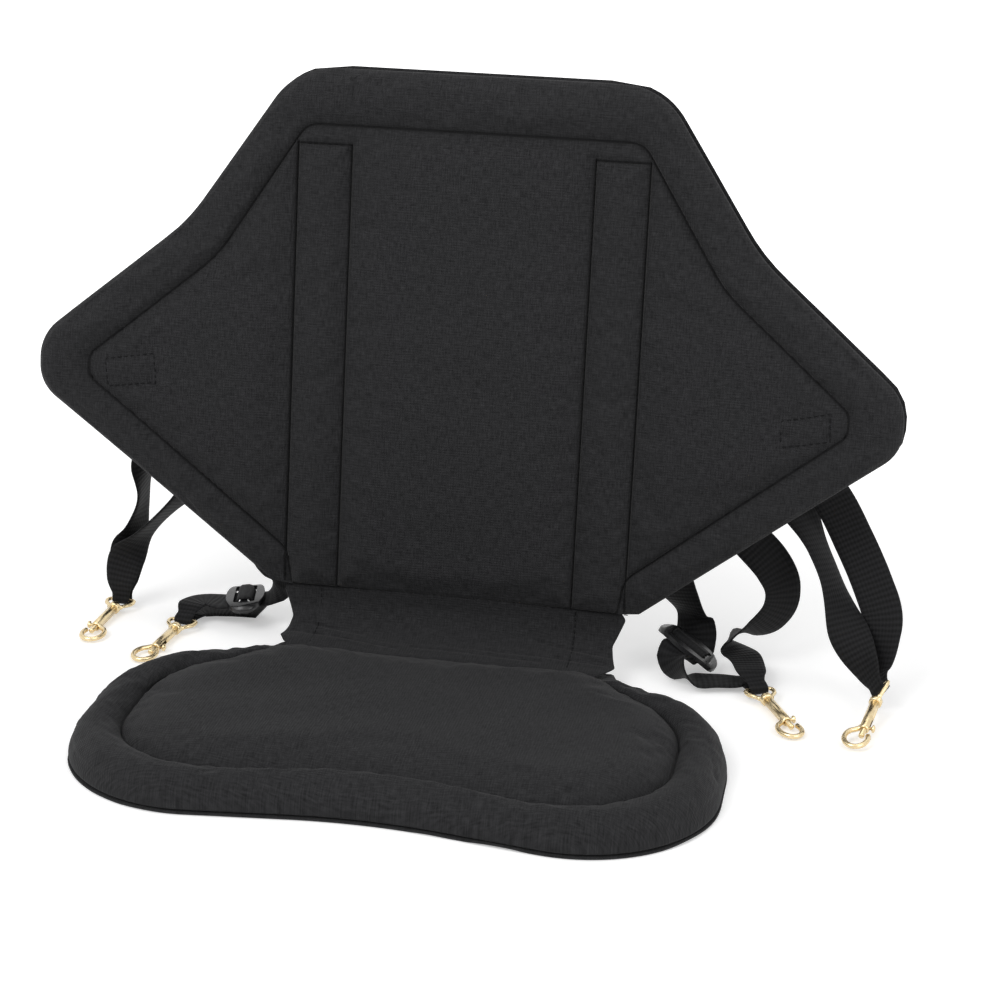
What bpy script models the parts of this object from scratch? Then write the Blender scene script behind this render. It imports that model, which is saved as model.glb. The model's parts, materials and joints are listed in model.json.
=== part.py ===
"""Kayak seat: a padded backrest on a cloth hinge band, a padded seat, and four webbing straps with swivel bolt snaps.

Metres, +Z up, X to the sitter's side, -Y to the front. The origin is on the underside of the seat, at its middle.
Each panel is drawn flat as an outline with rounded corners. The backrest's flat frame has x across and s up it.
"""
import math

import bmesh
import bpy
import numpy as np
from mathutils import Matrix, Vector
from mathutils.geometry import delaunay_2d_cdt

# Gap kept between pieces that touch
GAP = 0.0003

# Seat pad, seen from above
PAD_HALF_WIDTH = 0.185
PAD_REAR_Y = 0.115
PAD_LOBE_Y = -0.115
PAD_FRONT_Y = -0.099
PAD_SHOULDER_Y = 0.040
PAD_FRONT_CORNER_RADIUS = 0.078
PAD_SIDE_RADIUS = 0.060

# Backrest, seen from the front
BACK_HEIGHT = 0.325
BACK_TOP_HALF = 0.110
BACK_WAIST_HALF = 0.175
BACK_WAIST_S = 0.2285
BACK_HALF_WIDTH = 0.2655
BACK_TIP_TOP_S = 0.153
BACK_TIP_BOTTOM_S = 0.122
BACK_LEAN = math.radians(7.0)
BACK_FOOT_Y = 0.132
BACK_FOOT_Z = 0.036
# How far the wings curve forward: this times x squared
BACK_WRAP = 0.25

# Padding of both panels
BORDER = 0.028
BACK_BORDER_CROWN = 0.0090
BACK_SEAM_LEVEL = 0.0020
BACK_CENTRE_CROWN = 0.0100
BACK_FOAM_DEPTH = 0.0085
SEAT_BORDER_CROWN = 0.0230
SEAT_SEAM_LEVEL = 0.0135
SEAT_CENTRE_CROWN = 0.0260
SEAT_EDGE_LEVEL = 0.0100
EDGE_TUCK = 0.003
# Outline points nearer than this are one
NEAREST_POINTS = 0.0007
CROWN_RUN = 0.020

# Stitched channels of the backrest, over the bands behind it
CHANNEL_MIDDLE = 0.0905
CHANNEL_WIDTH = 0.033
CHANNEL_TOP_S = 0.280

# Cloth and webbing
COVER_THICKNESS = 0.0012
COVER_LIP = 0.002
BAND_WIDTH = 0.038
BAND_THICKNESS = 0.0016
NECK_HALF = 0.1045
HINGE_BAND_THICKNESS = 0.0040
CREASE_Z = 0.0100
WEBBING_WIDTH = 0.025
WEBBING_THICKNESS = 0.0014
EYE_WEBBING_WIDTH = 0.0120

# Swivel bolt snap, along its own axis from the barrel's rear shoulder
BARREL_RADIUS = 0.0031
BARREL_LENGTH = 0.0280
BORE_RADIUS = 0.0021
BORE_START = 0.0030
POST_RADIUS = 0.0016
POST_HEAD_RADIUS = 0.0023
POST_HEAD_THICKNESS = 0.0018
COLLAR_LENGTH = 0.0042
COLLAR_RADIUS = 0.0040
COLLAR_BORE_RADIUS = 0.0020
EYE_WIRE_RADIUS = 0.0013
EYE_HALF_WIDTH = 0.0090
EYE_REACH = 0.0165
HOOK_WIRE_RADIUS = 0.0016
HOOK_HALF_LENGTH = 0.0090
HOOK_HALF_WIDTH = 0.0069
HOOK_OFFSET = 0.0024
HOOK_TIP_ANGLE = math.radians(115)
BOLT_RADIUS = 0.00175
BOLT_NOSE = 0.0070
BOLT_TAIL = 0.0153
BOLT_TRAVEL = 0.0080
KNOB_STEM_RADIUS = 0.00095
KNOB_RADIUS = 0.0023
KNOB_HEIGHT = 0.0062
KNOB_SETBACK = 0.0027
SLOT_HALF_WIDTH = 0.00125
SPRING_WIRE_RADIUS = 0.0003
SPRING_RADIUS = 0.00145
SPRING_TURNS = 5

# Strap slider, an oval plate with two slots either side of its bar
SLIDER_HALF_LENGTH = 0.0215
SLIDER_HALF_WIDTH = 0.0125
SLIDER_THICKNESS = 0.0030
SLIDER_BAR = 0.0046
SLOT_WIDTH = 0.0046
SLOT_HALF_LENGTH = 0.0138
SLIDER_DISH = 4.0

COLLECTION_NAME = "kayak_seat"


def clear_scene():
    """Empties the scene that the script starts in."""
    for obj in list(bpy.data.objects):
        bpy.data.objects.remove(obj, do_unlink=True)
    for collection in list(bpy.data.collections):
        bpy.data.collections.remove(collection)


def material(name, colour, roughness, metallic=0.0):
    """A Principled material with one colour."""
    found = bpy.data.materials.get(name)
    if found:
        return found
    made = bpy.data.materials.new(name)
    made.use_nodes = True
    shader = made.node_tree.nodes["Principled BSDF"]
    shader.inputs["Base Color"].default_value = (*colour, 1.0)
    shader.inputs["Roughness"].default_value = roughness
    shader.inputs["Metallic"].default_value = metallic
    return made


def shell_cloth():
    return material("shell_cloth", (0.028, 0.028, 0.030), 0.85)


def webbing_cloth():
    return material("webbing", (0.012, 0.012, 0.013), 0.75)


def brass():
    return material("brass", (0.80, 0.62, 0.33), 0.25, 1.0)


def slider_plastic():
    return material("slider_plastic", (0.015, 0.015, 0.016), 0.30)


def spring_steel():
    return material("spring_steel", (0.45, 0.45, 0.46), 0.30, 1.0)


def add_part(obj, finish, smooth=True):
    """Names the object's mesh after it, gives it its material and files it with the parts."""
    obj.data.name = obj.name
    obj.data.materials.clear()
    obj.data.materials.append(finish)
    for collection in list(obj.users_collection):
        collection.objects.unlink(obj)
    bpy.data.collections[COLLECTION_NAME].objects.link(obj)
    if smooth:
        obj.data.shade_smooth()
        obj.data.set_sharp_from_angle(angle=math.radians(40))
    return obj


def add_cutter(obj):
    """Files a cutting shape apart from the parts, hidden from renders."""
    for collection in list(obj.users_collection):
        collection.objects.unlink(obj)
    bpy.data.collections["cutters"].objects.link(obj)
    obj.hide_render = True
    obj.display_type = "WIRE"
    return obj


def object_from_bmesh(name, mesh_data):
    """A new object from a bmesh, with its faces pointing out."""
    bmesh.ops.recalc_face_normals(mesh_data, faces=mesh_data.faces)
    mesh = bpy.data.meshes.new(name)
    mesh_data.to_mesh(mesh)
    mesh_data.free()
    obj = bpy.data.objects.new(name, mesh)
    bpy.context.scene.collection.objects.link(obj)
    return obj


def mesh_from_curve(curve_object):
    """The curve object as a mesh object with its caps welded; the curve is removed."""
    bpy.context.view_layer.update()
    evaluated = curve_object.evaluated_get(bpy.context.evaluated_depsgraph_get())
    mesh = bpy.data.meshes.new_from_object(evaluated)
    work = bmesh.new()
    work.from_mesh(mesh)
    bmesh.ops.remove_doubles(work, verts=work.verts, dist=1e-6)
    bmesh.ops.recalc_face_normals(work, faces=work.faces)
    work.to_mesh(mesh)
    work.free()
    made = bpy.data.objects.new(curve_object.name + "_mesh", mesh)
    made.matrix_world = curve_object.matrix_world
    bpy.context.scene.collection.objects.link(made)
    bpy.data.objects.remove(curve_object, do_unlink=True)
    return made


def wire(name, points, radius, sides_level=2, closed=False):
    """A round wire through the points, as a mesh object."""
    curve = bpy.data.curves.new(name, "CURVE")
    curve.dimensions = "3D"
    curve.bevel_depth = radius
    curve.bevel_resolution = sides_level
    curve.use_fill_caps = True
    spline = curve.splines.new("POLY")
    spline.points.add(len(points) - 1)
    for point, place in zip(spline.points, points):
        point.co = (*place, 1.0)
    spline.use_cyclic_u = closed
    obj = bpy.data.objects.new(name, curve)
    bpy.context.scene.collection.objects.link(obj)
    return mesh_from_curve(obj)


def turned(name, profile, sides=14):
    """A solid turned about the X axis from (distance along, radius) points that begin and end on the axis."""
    mesh = bpy.data.meshes.new(name)
    places = [(along, 0.0, radius) for along, radius in profile]
    mesh.from_pydata(places, [(i, i + 1) for i in range(len(places) - 1)], [])
    obj = bpy.data.objects.new(name, mesh)
    bpy.context.scene.collection.objects.link(obj)
    screw = obj.modifiers.new("turn", "SCREW")
    screw.axis = "X"
    screw.steps = sides
    screw.render_steps = sides
    screw.use_merge_vertices = True
    screw.merge_threshold = 1e-5
    screw.use_normal_calculate = True
    return apply_modifiers(obj)


def apply_modifiers(obj):
    """Bakes the object's modifiers into its mesh, and points its faces out."""
    bpy.context.view_layer.update()
    evaluated = obj.evaluated_get(bpy.context.evaluated_depsgraph_get())
    mesh = bpy.data.meshes.new_from_object(evaluated)
    work = bmesh.new()
    work.from_mesh(mesh)
    bmesh.ops.remove_doubles(work, verts=work.verts, dist=1e-6)
    bmesh.ops.recalc_face_normals(work, faces=work.faces)
    work.to_mesh(mesh)
    work.free()
    obj.modifiers.clear()
    obj.data = mesh
    return obj


def combine(obj, other, operation):
    """Joins or cuts obj with other, which becomes a hidden cutter."""
    add_cutter(other)
    step = obj.modifiers.new(operation.lower(), "BOOLEAN")
    step.operation = operation
    step.solver = "EXACT"
    step.object = other
    return apply_modifiers(obj)


def rounded_outline(corners, spacing, arc_step=math.radians(12)):
    """A closed outline through (x, y, radius) corners, each rounded by an arc, its straights cut at the spacing."""
    outline = []
    count = len(corners)
    for index, (x, y, radius) in enumerate(corners):
        here = Vector((x, y))
        before = (Vector(corners[index - 1][:2]) - here).normalized()
        after = (Vector(corners[(index + 1) % count][:2]) - here).normalized()
        half = before.angle(after) / 2
        if radius <= 0 or half > math.radians(89.5):
            outline.append(here)
            continue
        centre = here + (before + after).normalized() * radius / math.sin(half)
        start = here + before * radius / math.tan(half) - centre
        sweep = start.angle_signed(here + after * radius / math.tan(half) - centre)
        steps = max(2, round(abs(sweep) / arc_step))
        for k in range(steps + 1):
            turn = -sweep * k / steps
            turned_point = Matrix.Rotation(turn, 2) @ start
            outline.append(centre + turned_point)
    # Where two arcs all but meet, their end points become one
    outline = [point for index, point in enumerate(outline) if (point - outline[index - 1]).length > NEAREST_POINTS]
    finished = []
    for index, point in enumerate(outline):
        nearest = outline[(index + 1) % len(outline)]
        pieces = max(1, round((nearest - point).length / spacing))
        finished.extend(point.lerp(nearest, k / pieces) for k in range(pieces))
    return np.array([tuple(point) for point in finished])


def mirrored(half):
    """A whole outline from its right half, listed from the top middle down to the bottom middle."""
    left = [(-x, y, radius) for x, y, radius in reversed(half) if x > 0]
    return half + left


def distance_to(points, outline):
    """Each point's distance from a closed outline."""
    start = outline
    run = np.roll(outline, -1, axis=0) - start
    offset = points[:, None, :] - start[None]
    share = np.clip((offset * run).sum(2) / (run * run).sum(1), 0, 1)
    return np.linalg.norm(offset - share[..., None] * run, axis=2).min(1)


def inside(points, outline):
    """Whether each point lies within a closed outline."""
    x, y = points[:, 0, None], points[:, 1, None]
    x0, y0 = outline[:, 0], outline[:, 1]
    x1, y1 = np.roll(x0, -1), np.roll(y0, -1)
    crosses = (y0 > y) != (y1 > y)
    rise = np.where(y1 == y0, 1.0, y1 - y0)
    return (crosses & (x < x0 + (y - y0) / rise * (x1 - x0))).sum(1) % 2 == 1


def inset(outline, distance):
    """The outline moved inwards by a distance smaller than its corner radii."""
    run = np.roll(outline, -1, axis=0) - np.roll(outline, 1, axis=0)
    normal = np.stack([run[:, 1], -run[:, 0]], 1)
    normal /= np.linalg.norm(normal, axis=1)[:, None]
    x, y = outline.T
    area = (x * np.roll(y, -1) - np.roll(x, -1) * y).sum()
    return outline - normal * distance * math.copysign(1.0, area)


def thin_out(points, kept, reach):
    """The points that lie further than reach from every kept point and from each other."""
    accepted = []
    for point in points:
        near = np.linalg.norm(kept - point, axis=1).min() < reach if len(kept) else False
        if accepted and not near:
            near = np.linalg.norm(np.array(accepted) - point, axis=1).min() < reach
        if not near:
            accepted.append(point)
    return np.array(accepted).reshape(-1, 2)


def triangles(outline, points):
    """The triangles of a flat sheet within the outline, through the points."""
    flat = np.vstack([outline, points])
    count = len(outline)
    edges = [(i, (i + 1) % count) for i in range(count)]
    placed, _, faces, _, _, _ = delaunay_2d_cdt([Vector(p) for p in flat], edges, [], 1, 1e-7)
    return np.array([tuple(p) for p in placed]), [list(face) for face in faces]


def quilted_panel(name, outline, seam, channels, front, place, back_level, spacing):
    """A padded panel: a crowned front over seams and channels, a flat back, and a rounded edge between them.

    front gives the front's level over flat points, and place puts flat points and levels in space.
    """
    rings = [seam]
    for share in (0.10, 0.30, 0.62, 0.86):
        nearest = seam[np.linalg.norm(outline[:, None] - seam[None], axis=2).argmin(1)]
        rings.append(nearest + (outline - nearest) * share)
    kept = np.vstack([seam] + channels) if channels else seam
    lines = np.vstack([thin_out(ring, np.vstack([kept, outline]), 0.0035) for ring in rings[1:]])
    low, high = outline.min(0), outline.max(0)
    grid = np.stack(np.meshgrid(np.arange(low[0], high[0], spacing), np.arange(low[1], high[1], spacing)), -1)
    grid = grid.reshape(-1, 2)
    grid = grid[inside(grid, seam)]
    near_seam = inset(seam, 0.007)
    near_seam = near_seam[inside(near_seam, seam)]
    near_seam = thin_out(near_seam, kept, 0.0055)
    grid = thin_out(grid, np.vstack([kept, near_seam]), spacing * 0.55)
    inner = np.vstack([kept, lines, near_seam, grid])
    inner = inner[inside(inner, outline) & (distance_to(inner, outline) > 0.0015)]
    flat_front, front_faces = triangles(outline, inner)
    back_outline = inset(outline, EDGE_TUCK)
    back_grid = np.stack(np.meshgrid(np.arange(low[0], high[0], 0.04), np.arange(low[1], high[1], 0.04)), -1)
    back_grid = back_grid.reshape(-1, 2)
    back_grid = back_grid[inside(back_grid, back_outline) & (distance_to(back_grid, back_outline) > 0.012)]
    flat_back, back_faces = triangles(back_outline, back_grid)
    places = np.vstack([
        place(flat_front, front(flat_front)),
        place(flat_back, np.full(len(flat_back), back_level)),
    ])
    work = bmesh.new()
    verts = [work.verts.new(p) for p in places]
    shift = len(flat_front)
    for face in front_faces:
        work.faces.new([verts[i] for i in face])
    for face in back_faces:
        work.faces.new([verts[i + shift] for i in reversed(face)])
    count = len(outline)
    for i in range(count):
        j = (i + 1) % count
        work.faces.new([verts[i], verts[j], verts[j + shift], verts[i + shift]])
    bmesh.ops.triangulate(work, faces=work.faces)
    return object_from_bmesh(name, work)


def cover_sheet(name, outline, place, level, thickness):
    """A thin cloth sheet that follows a panel's back, with Solidify for its thickness."""
    low, high = outline.min(0), outline.max(0)
    grid = np.stack(np.meshgrid(np.arange(low[0], high[0], 0.04), np.arange(low[1], high[1], 0.04)), -1)
    grid = grid.reshape(-1, 2)
    grid = grid[inside(grid, outline) & (distance_to(grid, outline) > 0.012)]
    flat, faces = triangles(outline, grid)
    work = bmesh.new()
    verts = [work.verts.new(p) for p in place(flat, np.full(len(flat), level))]
    for face in faces:
        work.faces.new([verts[i] for i in face])
    obj = object_from_bmesh(name, work)
    add_thickness(obj, thickness)
    return obj


def add_thickness(obj, thickness):
    """Gives an open sheet its thickness, half to each side."""
    solid = obj.modifiers.new("thickness", "SOLIDIFY")
    solid.thickness = thickness
    solid.offset = 0.0
    solid.use_even_offset = True
    return obj


# Flat frames of the two panels


def on_seat(flat, level):
    """Seat frame: flat points are x and y, and the level is the height."""
    return np.column_stack([flat[:, 0], flat[:, 1], level])


def on_back(flat, level):
    """Backrest frame: flat points are x and s, and the level is the distance in front of its middle sheet."""
    forward = level + BACK_WRAP * flat[:, 0] ** 2
    lean, rise = math.sin(BACK_LEAN), math.cos(BACK_LEAN)
    y = BACK_FOOT_Y + flat[:, 1] * lean - forward * rise
    z = BACK_FOOT_Z + flat[:, 1] * rise + forward * lean
    return np.column_stack([flat[:, 0], y, z])


def back_point(x, s, level):
    """One point of the backrest frame."""
    return tuple(on_back(np.array([[x, s]]), np.array([level]))[0])


def seat_outline():
    """The seat from above: a neck at the hinge, sloping shoulders and two front lobes."""
    half = [
        (0.0, PAD_REAR_Y, 0.0),
        (NECK_HALF, PAD_REAR_Y, 0.004),
        (NECK_HALF + 0.004, PAD_REAR_Y - 0.013, 0.020),
        (PAD_HALF_WIDTH, PAD_SHOULDER_Y, PAD_SIDE_RADIUS),
        (PAD_HALF_WIDTH, PAD_LOBE_Y - 0.010, PAD_FRONT_CORNER_RADIUS),
        (0.0, PAD_FRONT_Y, 0.300),
    ]
    return mirrored(half)


def seat_seam():
    """The seam that divides the seat's border from its middle."""
    half = [
        (0.0, PAD_REAR_Y - BORDER * 0.82, 0.0),
        (NECK_HALF - 0.009, PAD_REAR_Y - BORDER * 0.82, 0.024),
        (PAD_HALF_WIDTH - BORDER, PAD_SHOULDER_Y - BORDER * 0.36, 0.045),
        (PAD_HALF_WIDTH - BORDER, PAD_LOBE_Y + BORDER * 0.62, 0.050),
        (0.0, PAD_FRONT_Y + BORDER * 0.86, 0.300),
    ]
    return mirrored(half)


def back_outline():
    """The backrest from the front: a flat top, waists, a wing tip each side and a tapered foot."""
    half = [
        (0.0, BACK_HEIGHT, 0.0),
        (BACK_TOP_HALF, BACK_HEIGHT, 0.045),
        (BACK_WAIST_HALF, BACK_WAIST_S, 0.120),
        (BACK_HALF_WIDTH, BACK_TIP_TOP_S, 0.030),
        (BACK_HALF_WIDTH, BACK_TIP_BOTTOM_S, 0.025),
        (NECK_HALF + 0.0135, 0.008, 0.040),
        (NECK_HALF + 0.004, 0.0, 0.0),
        (0.0, 0.0, 0.0),
    ]
    return mirrored(half)


def back_seam():
    """The seam that divides the backrest's border from its middle, down to the foot seam."""
    half = [
        (0.0, BACK_HEIGHT - BORDER * 1.2, 0.0),
        (BACK_TOP_HALF - 0.008, BACK_HEIGHT - BORDER * 1.2, 0.014),
        (BACK_WAIST_HALF - 0.020, BACK_WAIST_S - 0.020, 0.090),
        (BACK_HALF_WIDTH - BORDER * 1.15, BACK_TIP_TOP_S - 0.010, 0.009),
        (BACK_HALF_WIDTH - BORDER * 1.15, BACK_TIP_BOTTOM_S + 0.007, 0.009),
        (NECK_HALF + 0.002, 0.028, 0.016),
        (NECK_HALF - 0.002, 0.006, 0.0),
        (0.0, 0.006, 0.0),
    ]
    return mirrored(half)


def channel_lines():
    """The x of the four lines sewn down the backrest, two over the edges of each band behind it."""
    return [side * (CHANNEL_MIDDLE + edge * CHANNEL_WIDTH / 2) for side in (-1, 1) for edge in (-1, 1)]


def quilt_level(flat, outline, seam, lines, border_crown, seam_level, centre_crown, edge_level):
    """The front's level: a rounded border outside the seam, and a crowned middle that dips to each sewn line."""
    to_edge = distance_to(flat, outline)
    to_seam = distance_to(flat, seam)
    share = to_seam / np.maximum(to_edge + to_seam, 1e-9)
    base = seam_level + (edge_level - seam_level) * share
    peak = border_crown - (seam_level + edge_level) / 2
    border = base + peak * np.sqrt(np.clip(4 * share * (1 - share), 0, 1))
    nearest = to_seam
    for x, top in lines:
        beyond = np.maximum(flat[:, 1] - top, 0)
        nearest = np.minimum(nearest, np.hypot(flat[:, 0] - x, beyond))
    rise = np.clip(nearest / CROWN_RUN, 0, 1)
    middle = seam_level + (centre_crown - seam_level) * np.sqrt(rise * (2 - rise))
    return np.where(inside(flat, seam), middle, border)


def make_seat():
    """The seat pad, its underside cover and the cloth band that hinges the backrest to it."""
    outline = rounded_outline(seat_outline(), 0.016)
    seam = rounded_outline(seat_seam(), 0.016)
    floor = COVER_THICKNESS + GAP

    def front(flat):
        return quilt_level(
            flat, outline, seam, [], SEAT_BORDER_CROWN, SEAT_SEAM_LEVEL, SEAT_CENTRE_CROWN, SEAT_EDGE_LEVEL
        )

    pad = quilted_panel("seat_pad", outline, seam, [], front, on_seat, floor, 0.030)
    add_part(pad, shell_cloth())
    cover_outline = inset(outline, EDGE_TUCK - COVER_LIP)
    cover = cover_sheet("seat_bottom_cover", cover_outline, on_seat, COVER_THICKNESS / 2, COVER_THICKNESS)
    add_part(cover, shell_cloth(), smooth=False)
    make_hinge_band()


def make_hinge_band():
    """Two layers of shell cloth without foam, from the foot of the backrest down and forward to the seat's rear edge."""
    half_thickness = HINGE_BAND_THICKNESS / 2
    top_y, top_z = BACK_FOOT_Y, BACK_FOOT_Z - GAP - half_thickness * math.sin(BACK_LEAN)
    end_y = PAD_REAR_Y + GAP
    profile = [
        (top_y - 0.0005, top_z - 0.0002),
        (top_y - 0.0012, top_z - 0.0085),
        (top_y - 0.0045, top_z - 0.0165),
        (end_y + 0.0070, CREASE_Z + 0.0035),
        (end_y + 0.0032, CREASE_Z + 0.0012),
        (end_y + 0.0002, CREASE_Z),
    ]
    widths = [NECK_HALF + 0.0030, NECK_HALF, NECK_HALF - 0.0015, NECK_HALF - 0.0010, NECK_HALF, NECK_HALF + 0.0015]
    columns = 9
    work = bmesh.new()
    rows = []
    for (y, z), half_width in zip(profile, widths):
        across = np.linspace(-half_width, half_width, columns)
        rows.append([work.verts.new((x, y, z)) for x in across])
    for upper, lower in zip(rows, rows[1:]):
        for i in range(columns - 1):
            work.faces.new([upper[i], upper[i + 1], lower[i + 1], lower[i]])
    band = object_from_bmesh("hinge_band", work)
    add_thickness(band, HINGE_BAND_THICKNESS)
    add_part(band, shell_cloth())


def make_backrest():
    """The backrest pad, the cloth behind it and the two webbing bands sewn down that cloth."""
    outline = rounded_outline(back_outline(), 0.018)
    seam = rounded_outline(back_seam(), 0.018)
    lines = [(x, CHANNEL_TOP_S) for x in channel_lines()]
    rows = np.linspace(0.012, CHANNEL_TOP_S, 11)
    channels = [np.column_stack([np.full(len(rows), x + side), rows]) for x, _ in lines for side in (-0.0045, 0, 0.0045)]

    def front(flat):
        return quilt_level(
            flat, outline, seam, lines, BACK_BORDER_CROWN, BACK_SEAM_LEVEL, BACK_CENTRE_CROWN, 0.0
        )

    pad = quilted_panel("backrest_pad", outline, seam, channels, front, on_back, -BACK_FOAM_DEPTH, 0.034)
    add_part(pad, shell_cloth())
    cover_level = -BACK_FOAM_DEPTH - GAP - COVER_THICKNESS / 2
    cover_outline = inset(outline, EDGE_TUCK - 0.001)
    cover = cover_sheet("backrest_rear_cover", cover_outline, on_back, cover_level, COVER_THICKNESS)
    add_part(cover, shell_cloth())
    for side, sign in (("left", -1), ("right", 1)):
        make_rear_band(side, sign * CHANNEL_MIDDLE)


def rear_face_level():
    """The level of the rear cover's outside."""
    return -BACK_FOAM_DEPTH - GAP - COVER_THICKNESS


def make_rear_band(side, x):
    """A wide webbing band, sewn down the rear cover along both its edges."""
    level = rear_face_level() - GAP - BAND_THICKNESS / 2
    heights = np.linspace(0.004, CHANNEL_TOP_S + 0.004, 9)
    work = bmesh.new()
    rows = []
    for s in heights:
        rows.append([work.verts.new(back_point(x + k * BAND_WIDTH / 2, s, level)) for k in (-1, 0, 1)])
    for lower, upper in zip(rows, rows[1:]):
        for i in range(2):
            work.faces.new([lower[i], lower[i + 1], upper[i + 1], upper[i]])
    band = object_from_bmesh(f"rear_band_{side}", work)
    add_thickness(band, BAND_THICKNESS)
    add_part(band, webbing_cloth(), smooth=False)


# Snaps


def snap_frame(collar, heading, tilt, roll):
    """A snap's frame: X along it to the hook, with the collar's middle at the given place."""
    turn = Matrix.Rotation(math.radians(heading), 4, "Z") @ Matrix.Rotation(math.radians(tilt), 4, "Y")
    place = Matrix.Translation(collar) @ turn @ Matrix.Rotation(math.radians(roll), 4, "X")
    return place @ Matrix.Translation((collar_middle(), 0, 0))


def collar_front():
    return -(0.0007 + GAP)


def collar_middle():
    return -collar_front() + COLLAR_LENGTH / 2


def make_eye(name, frame):
    """The webbing eye: a D of wire on a collar that the barrel's post turns in."""
    front = collar_front()
    rear = front - COLLAR_LENGTH
    ring = [
        (rear, COLLAR_BORE_RADIUS),
        (rear, COLLAR_RADIUS - 0.0006),
        (rear + 0.0006, COLLAR_RADIUS),
        (front - 0.0006, COLLAR_RADIUS),
        (front, COLLAR_RADIUS - 0.0006),
        (front, COLLAR_BORE_RADIUS),
        (rear, COLLAR_BORE_RADIUS),
    ]
    collar = turned(name, ring)
    root = COLLAR_BORE_RADIUS + EYE_WIRE_RADIUS + 0.0006
    side = EYE_HALF_WIDTH
    half = [
        (rear + 0.0016, root),
        (rear - 0.0005, root + 0.0004),
        (rear - 0.0026, root + 0.0022),
        (rear - 0.0050, side - 0.0007),
        (rear - 0.0080, side),
        (-EYE_REACH + 0.0012, side - 0.0003),
        (-EYE_REACH, side - 0.0016),
        (-EYE_REACH, 0.0),
    ]
    path = half + [(along, -across) for along, across in reversed(half[:-1])]
    bow = wire(name + "_bow", [(along, across, 0.0) for along, across in path], EYE_WIRE_RADIUS)
    combine(collar, bow, "UNION")
    collar.matrix_world = frame
    return add_part(collar, brass())


def hook_path():
    """The hook's centre line: out of the barrel's side, then round an oval to its tip."""
    centre = BARREL_LENGTH + HOOK_HALF_LENGTH
    neck = [
        (BARREL_LENGTH - 0.0075, -0.0009),
        (BARREL_LENGTH - 0.0040, -0.0016),
        (BARREL_LENGTH - 0.0010, -0.0031),
        (BARREL_LENGTH + 0.0008, -0.0049),
    ]
    start, end = math.radians(-138), HOOK_TIP_ANGLE
    count = 15
    oval = []
    for k in range(count):
        angle = start + (end - start) * k / (count - 1)
        oval.append((centre + HOOK_HALF_LENGTH * math.cos(angle), -HOOK_OFFSET + HOOK_HALF_WIDTH * math.sin(angle)))
    return [(along, across, 0.0) for along, across in neck + oval]


def make_hook(name, frame):
    """The snap's body: a swivel post, a bored barrel with a slot for the thumb knob, and the hook."""
    head_front = collar_front() - COLLAR_LENGTH - GAP
    profile = [
        (head_front - POST_HEAD_THICKNESS, 0.0),
        (head_front - POST_HEAD_THICKNESS, POST_HEAD_RADIUS * 0.6),
        (head_front - POST_HEAD_THICKNESS * 0.5, POST_HEAD_RADIUS),
        (head_front, POST_HEAD_RADIUS),
        (head_front, POST_RADIUS),
        (-0.0007, POST_RADIUS),
        (-0.0007, BARREL_RADIUS - 0.0006),
        (0.0, BARREL_RADIUS),
        (BARREL_LENGTH - 0.0008, BARREL_RADIUS),
        (BARREL_LENGTH, BARREL_RADIUS - 0.0006),
        (BARREL_LENGTH, 0.0),
    ]
    body = turned(name, profile)
    combine(body, wire(name + "_bow", hook_path(), HOOK_WIRE_RADIUS), "UNION")
    bore = turned(name + "_bore", [
        (BORE_START, 0.0),
        (BORE_START, BORE_RADIUS),
        (BARREL_LENGTH + 0.0020, BORE_RADIUS),
        (BARREL_LENGTH + 0.0020, 0.0),
    ])
    combine(body, bore, "DIFFERENCE")
    front = BARREL_LENGTH - KNOB_SETBACK + KNOB_STEM_RADIUS + GAP
    rear = BARREL_LENGTH - KNOB_SETBACK - BOLT_TRAVEL - KNOB_STEM_RADIUS - GAP
    bpy.ops.mesh.primitive_cube_add(size=1.0, location=((front + rear) / 2, BARREL_RADIUS, 0.0))
    slot = bpy.context.active_object
    slot.name = name + "_slot"
    slot.scale = (front - rear, 2 * BARREL_RADIUS, 2 * SLOT_HALF_WIDTH)
    combine(body, slot, "DIFFERENCE")
    body.matrix_world = frame
    return add_part(body, brass())


def make_bolt(name, frame):
    """The sliding bolt that closes the hook, with its thumb knob."""
    nose = BARREL_LENGTH + BOLT_NOSE
    rod = turned(name, [
        (BOLT_TAIL, 0.0),
        (BOLT_TAIL, BOLT_RADIUS),
        (nose - 0.0006, BOLT_RADIUS),
        (nose, BOLT_RADIUS - 0.0006),
        (nose, 0.0),
    ], sides=12)
    knob = turned(name + "_knob", [
        (BOLT_RADIUS * 0.4, 0.0),
        (BOLT_RADIUS * 0.4, KNOB_STEM_RADIUS),
        (KNOB_HEIGHT - 0.0022, KNOB_STEM_RADIUS),
        (KNOB_HEIGHT - 0.0016, KNOB_RADIUS),
        (KNOB_HEIGHT - 0.0006, KNOB_RADIUS),
        (KNOB_HEIGHT, KNOB_RADIUS * 0.5),
        (KNOB_HEIGHT, 0.0),
    ], sides=12)
    stand = Matrix.Translation((BARREL_LENGTH - KNOB_SETBACK, 0, 0)) @ Matrix.Rotation(math.radians(90), 4, "Z")
    knob.data.transform(stand)
    combine(rod, knob, "UNION")
    rod.matrix_world = frame
    return add_part(rod, brass())


def make_spring(name, frame):
    """The coil spring between the bore's end and the bolt's tail."""
    start = BORE_START + SPRING_WIRE_RADIUS + GAP
    end = BOLT_TAIL - SPRING_WIRE_RADIUS - GAP
    per_turn = 7
    count = SPRING_TURNS * per_turn + 1
    path = []
    for k in range(count):
        angle = 2 * math.pi * k / per_turn
        along = start + (end - start) * k / (count - 1)
        path.append((along, SPRING_RADIUS * math.cos(angle), SPRING_RADIUS * math.sin(angle)))
    coil = wire(name, path, SPRING_WIRE_RADIUS, sides_level=1)
    coil.name = name
    coil.matrix_world = frame
    return add_part(coil, spring_steel())


# Straps


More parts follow.
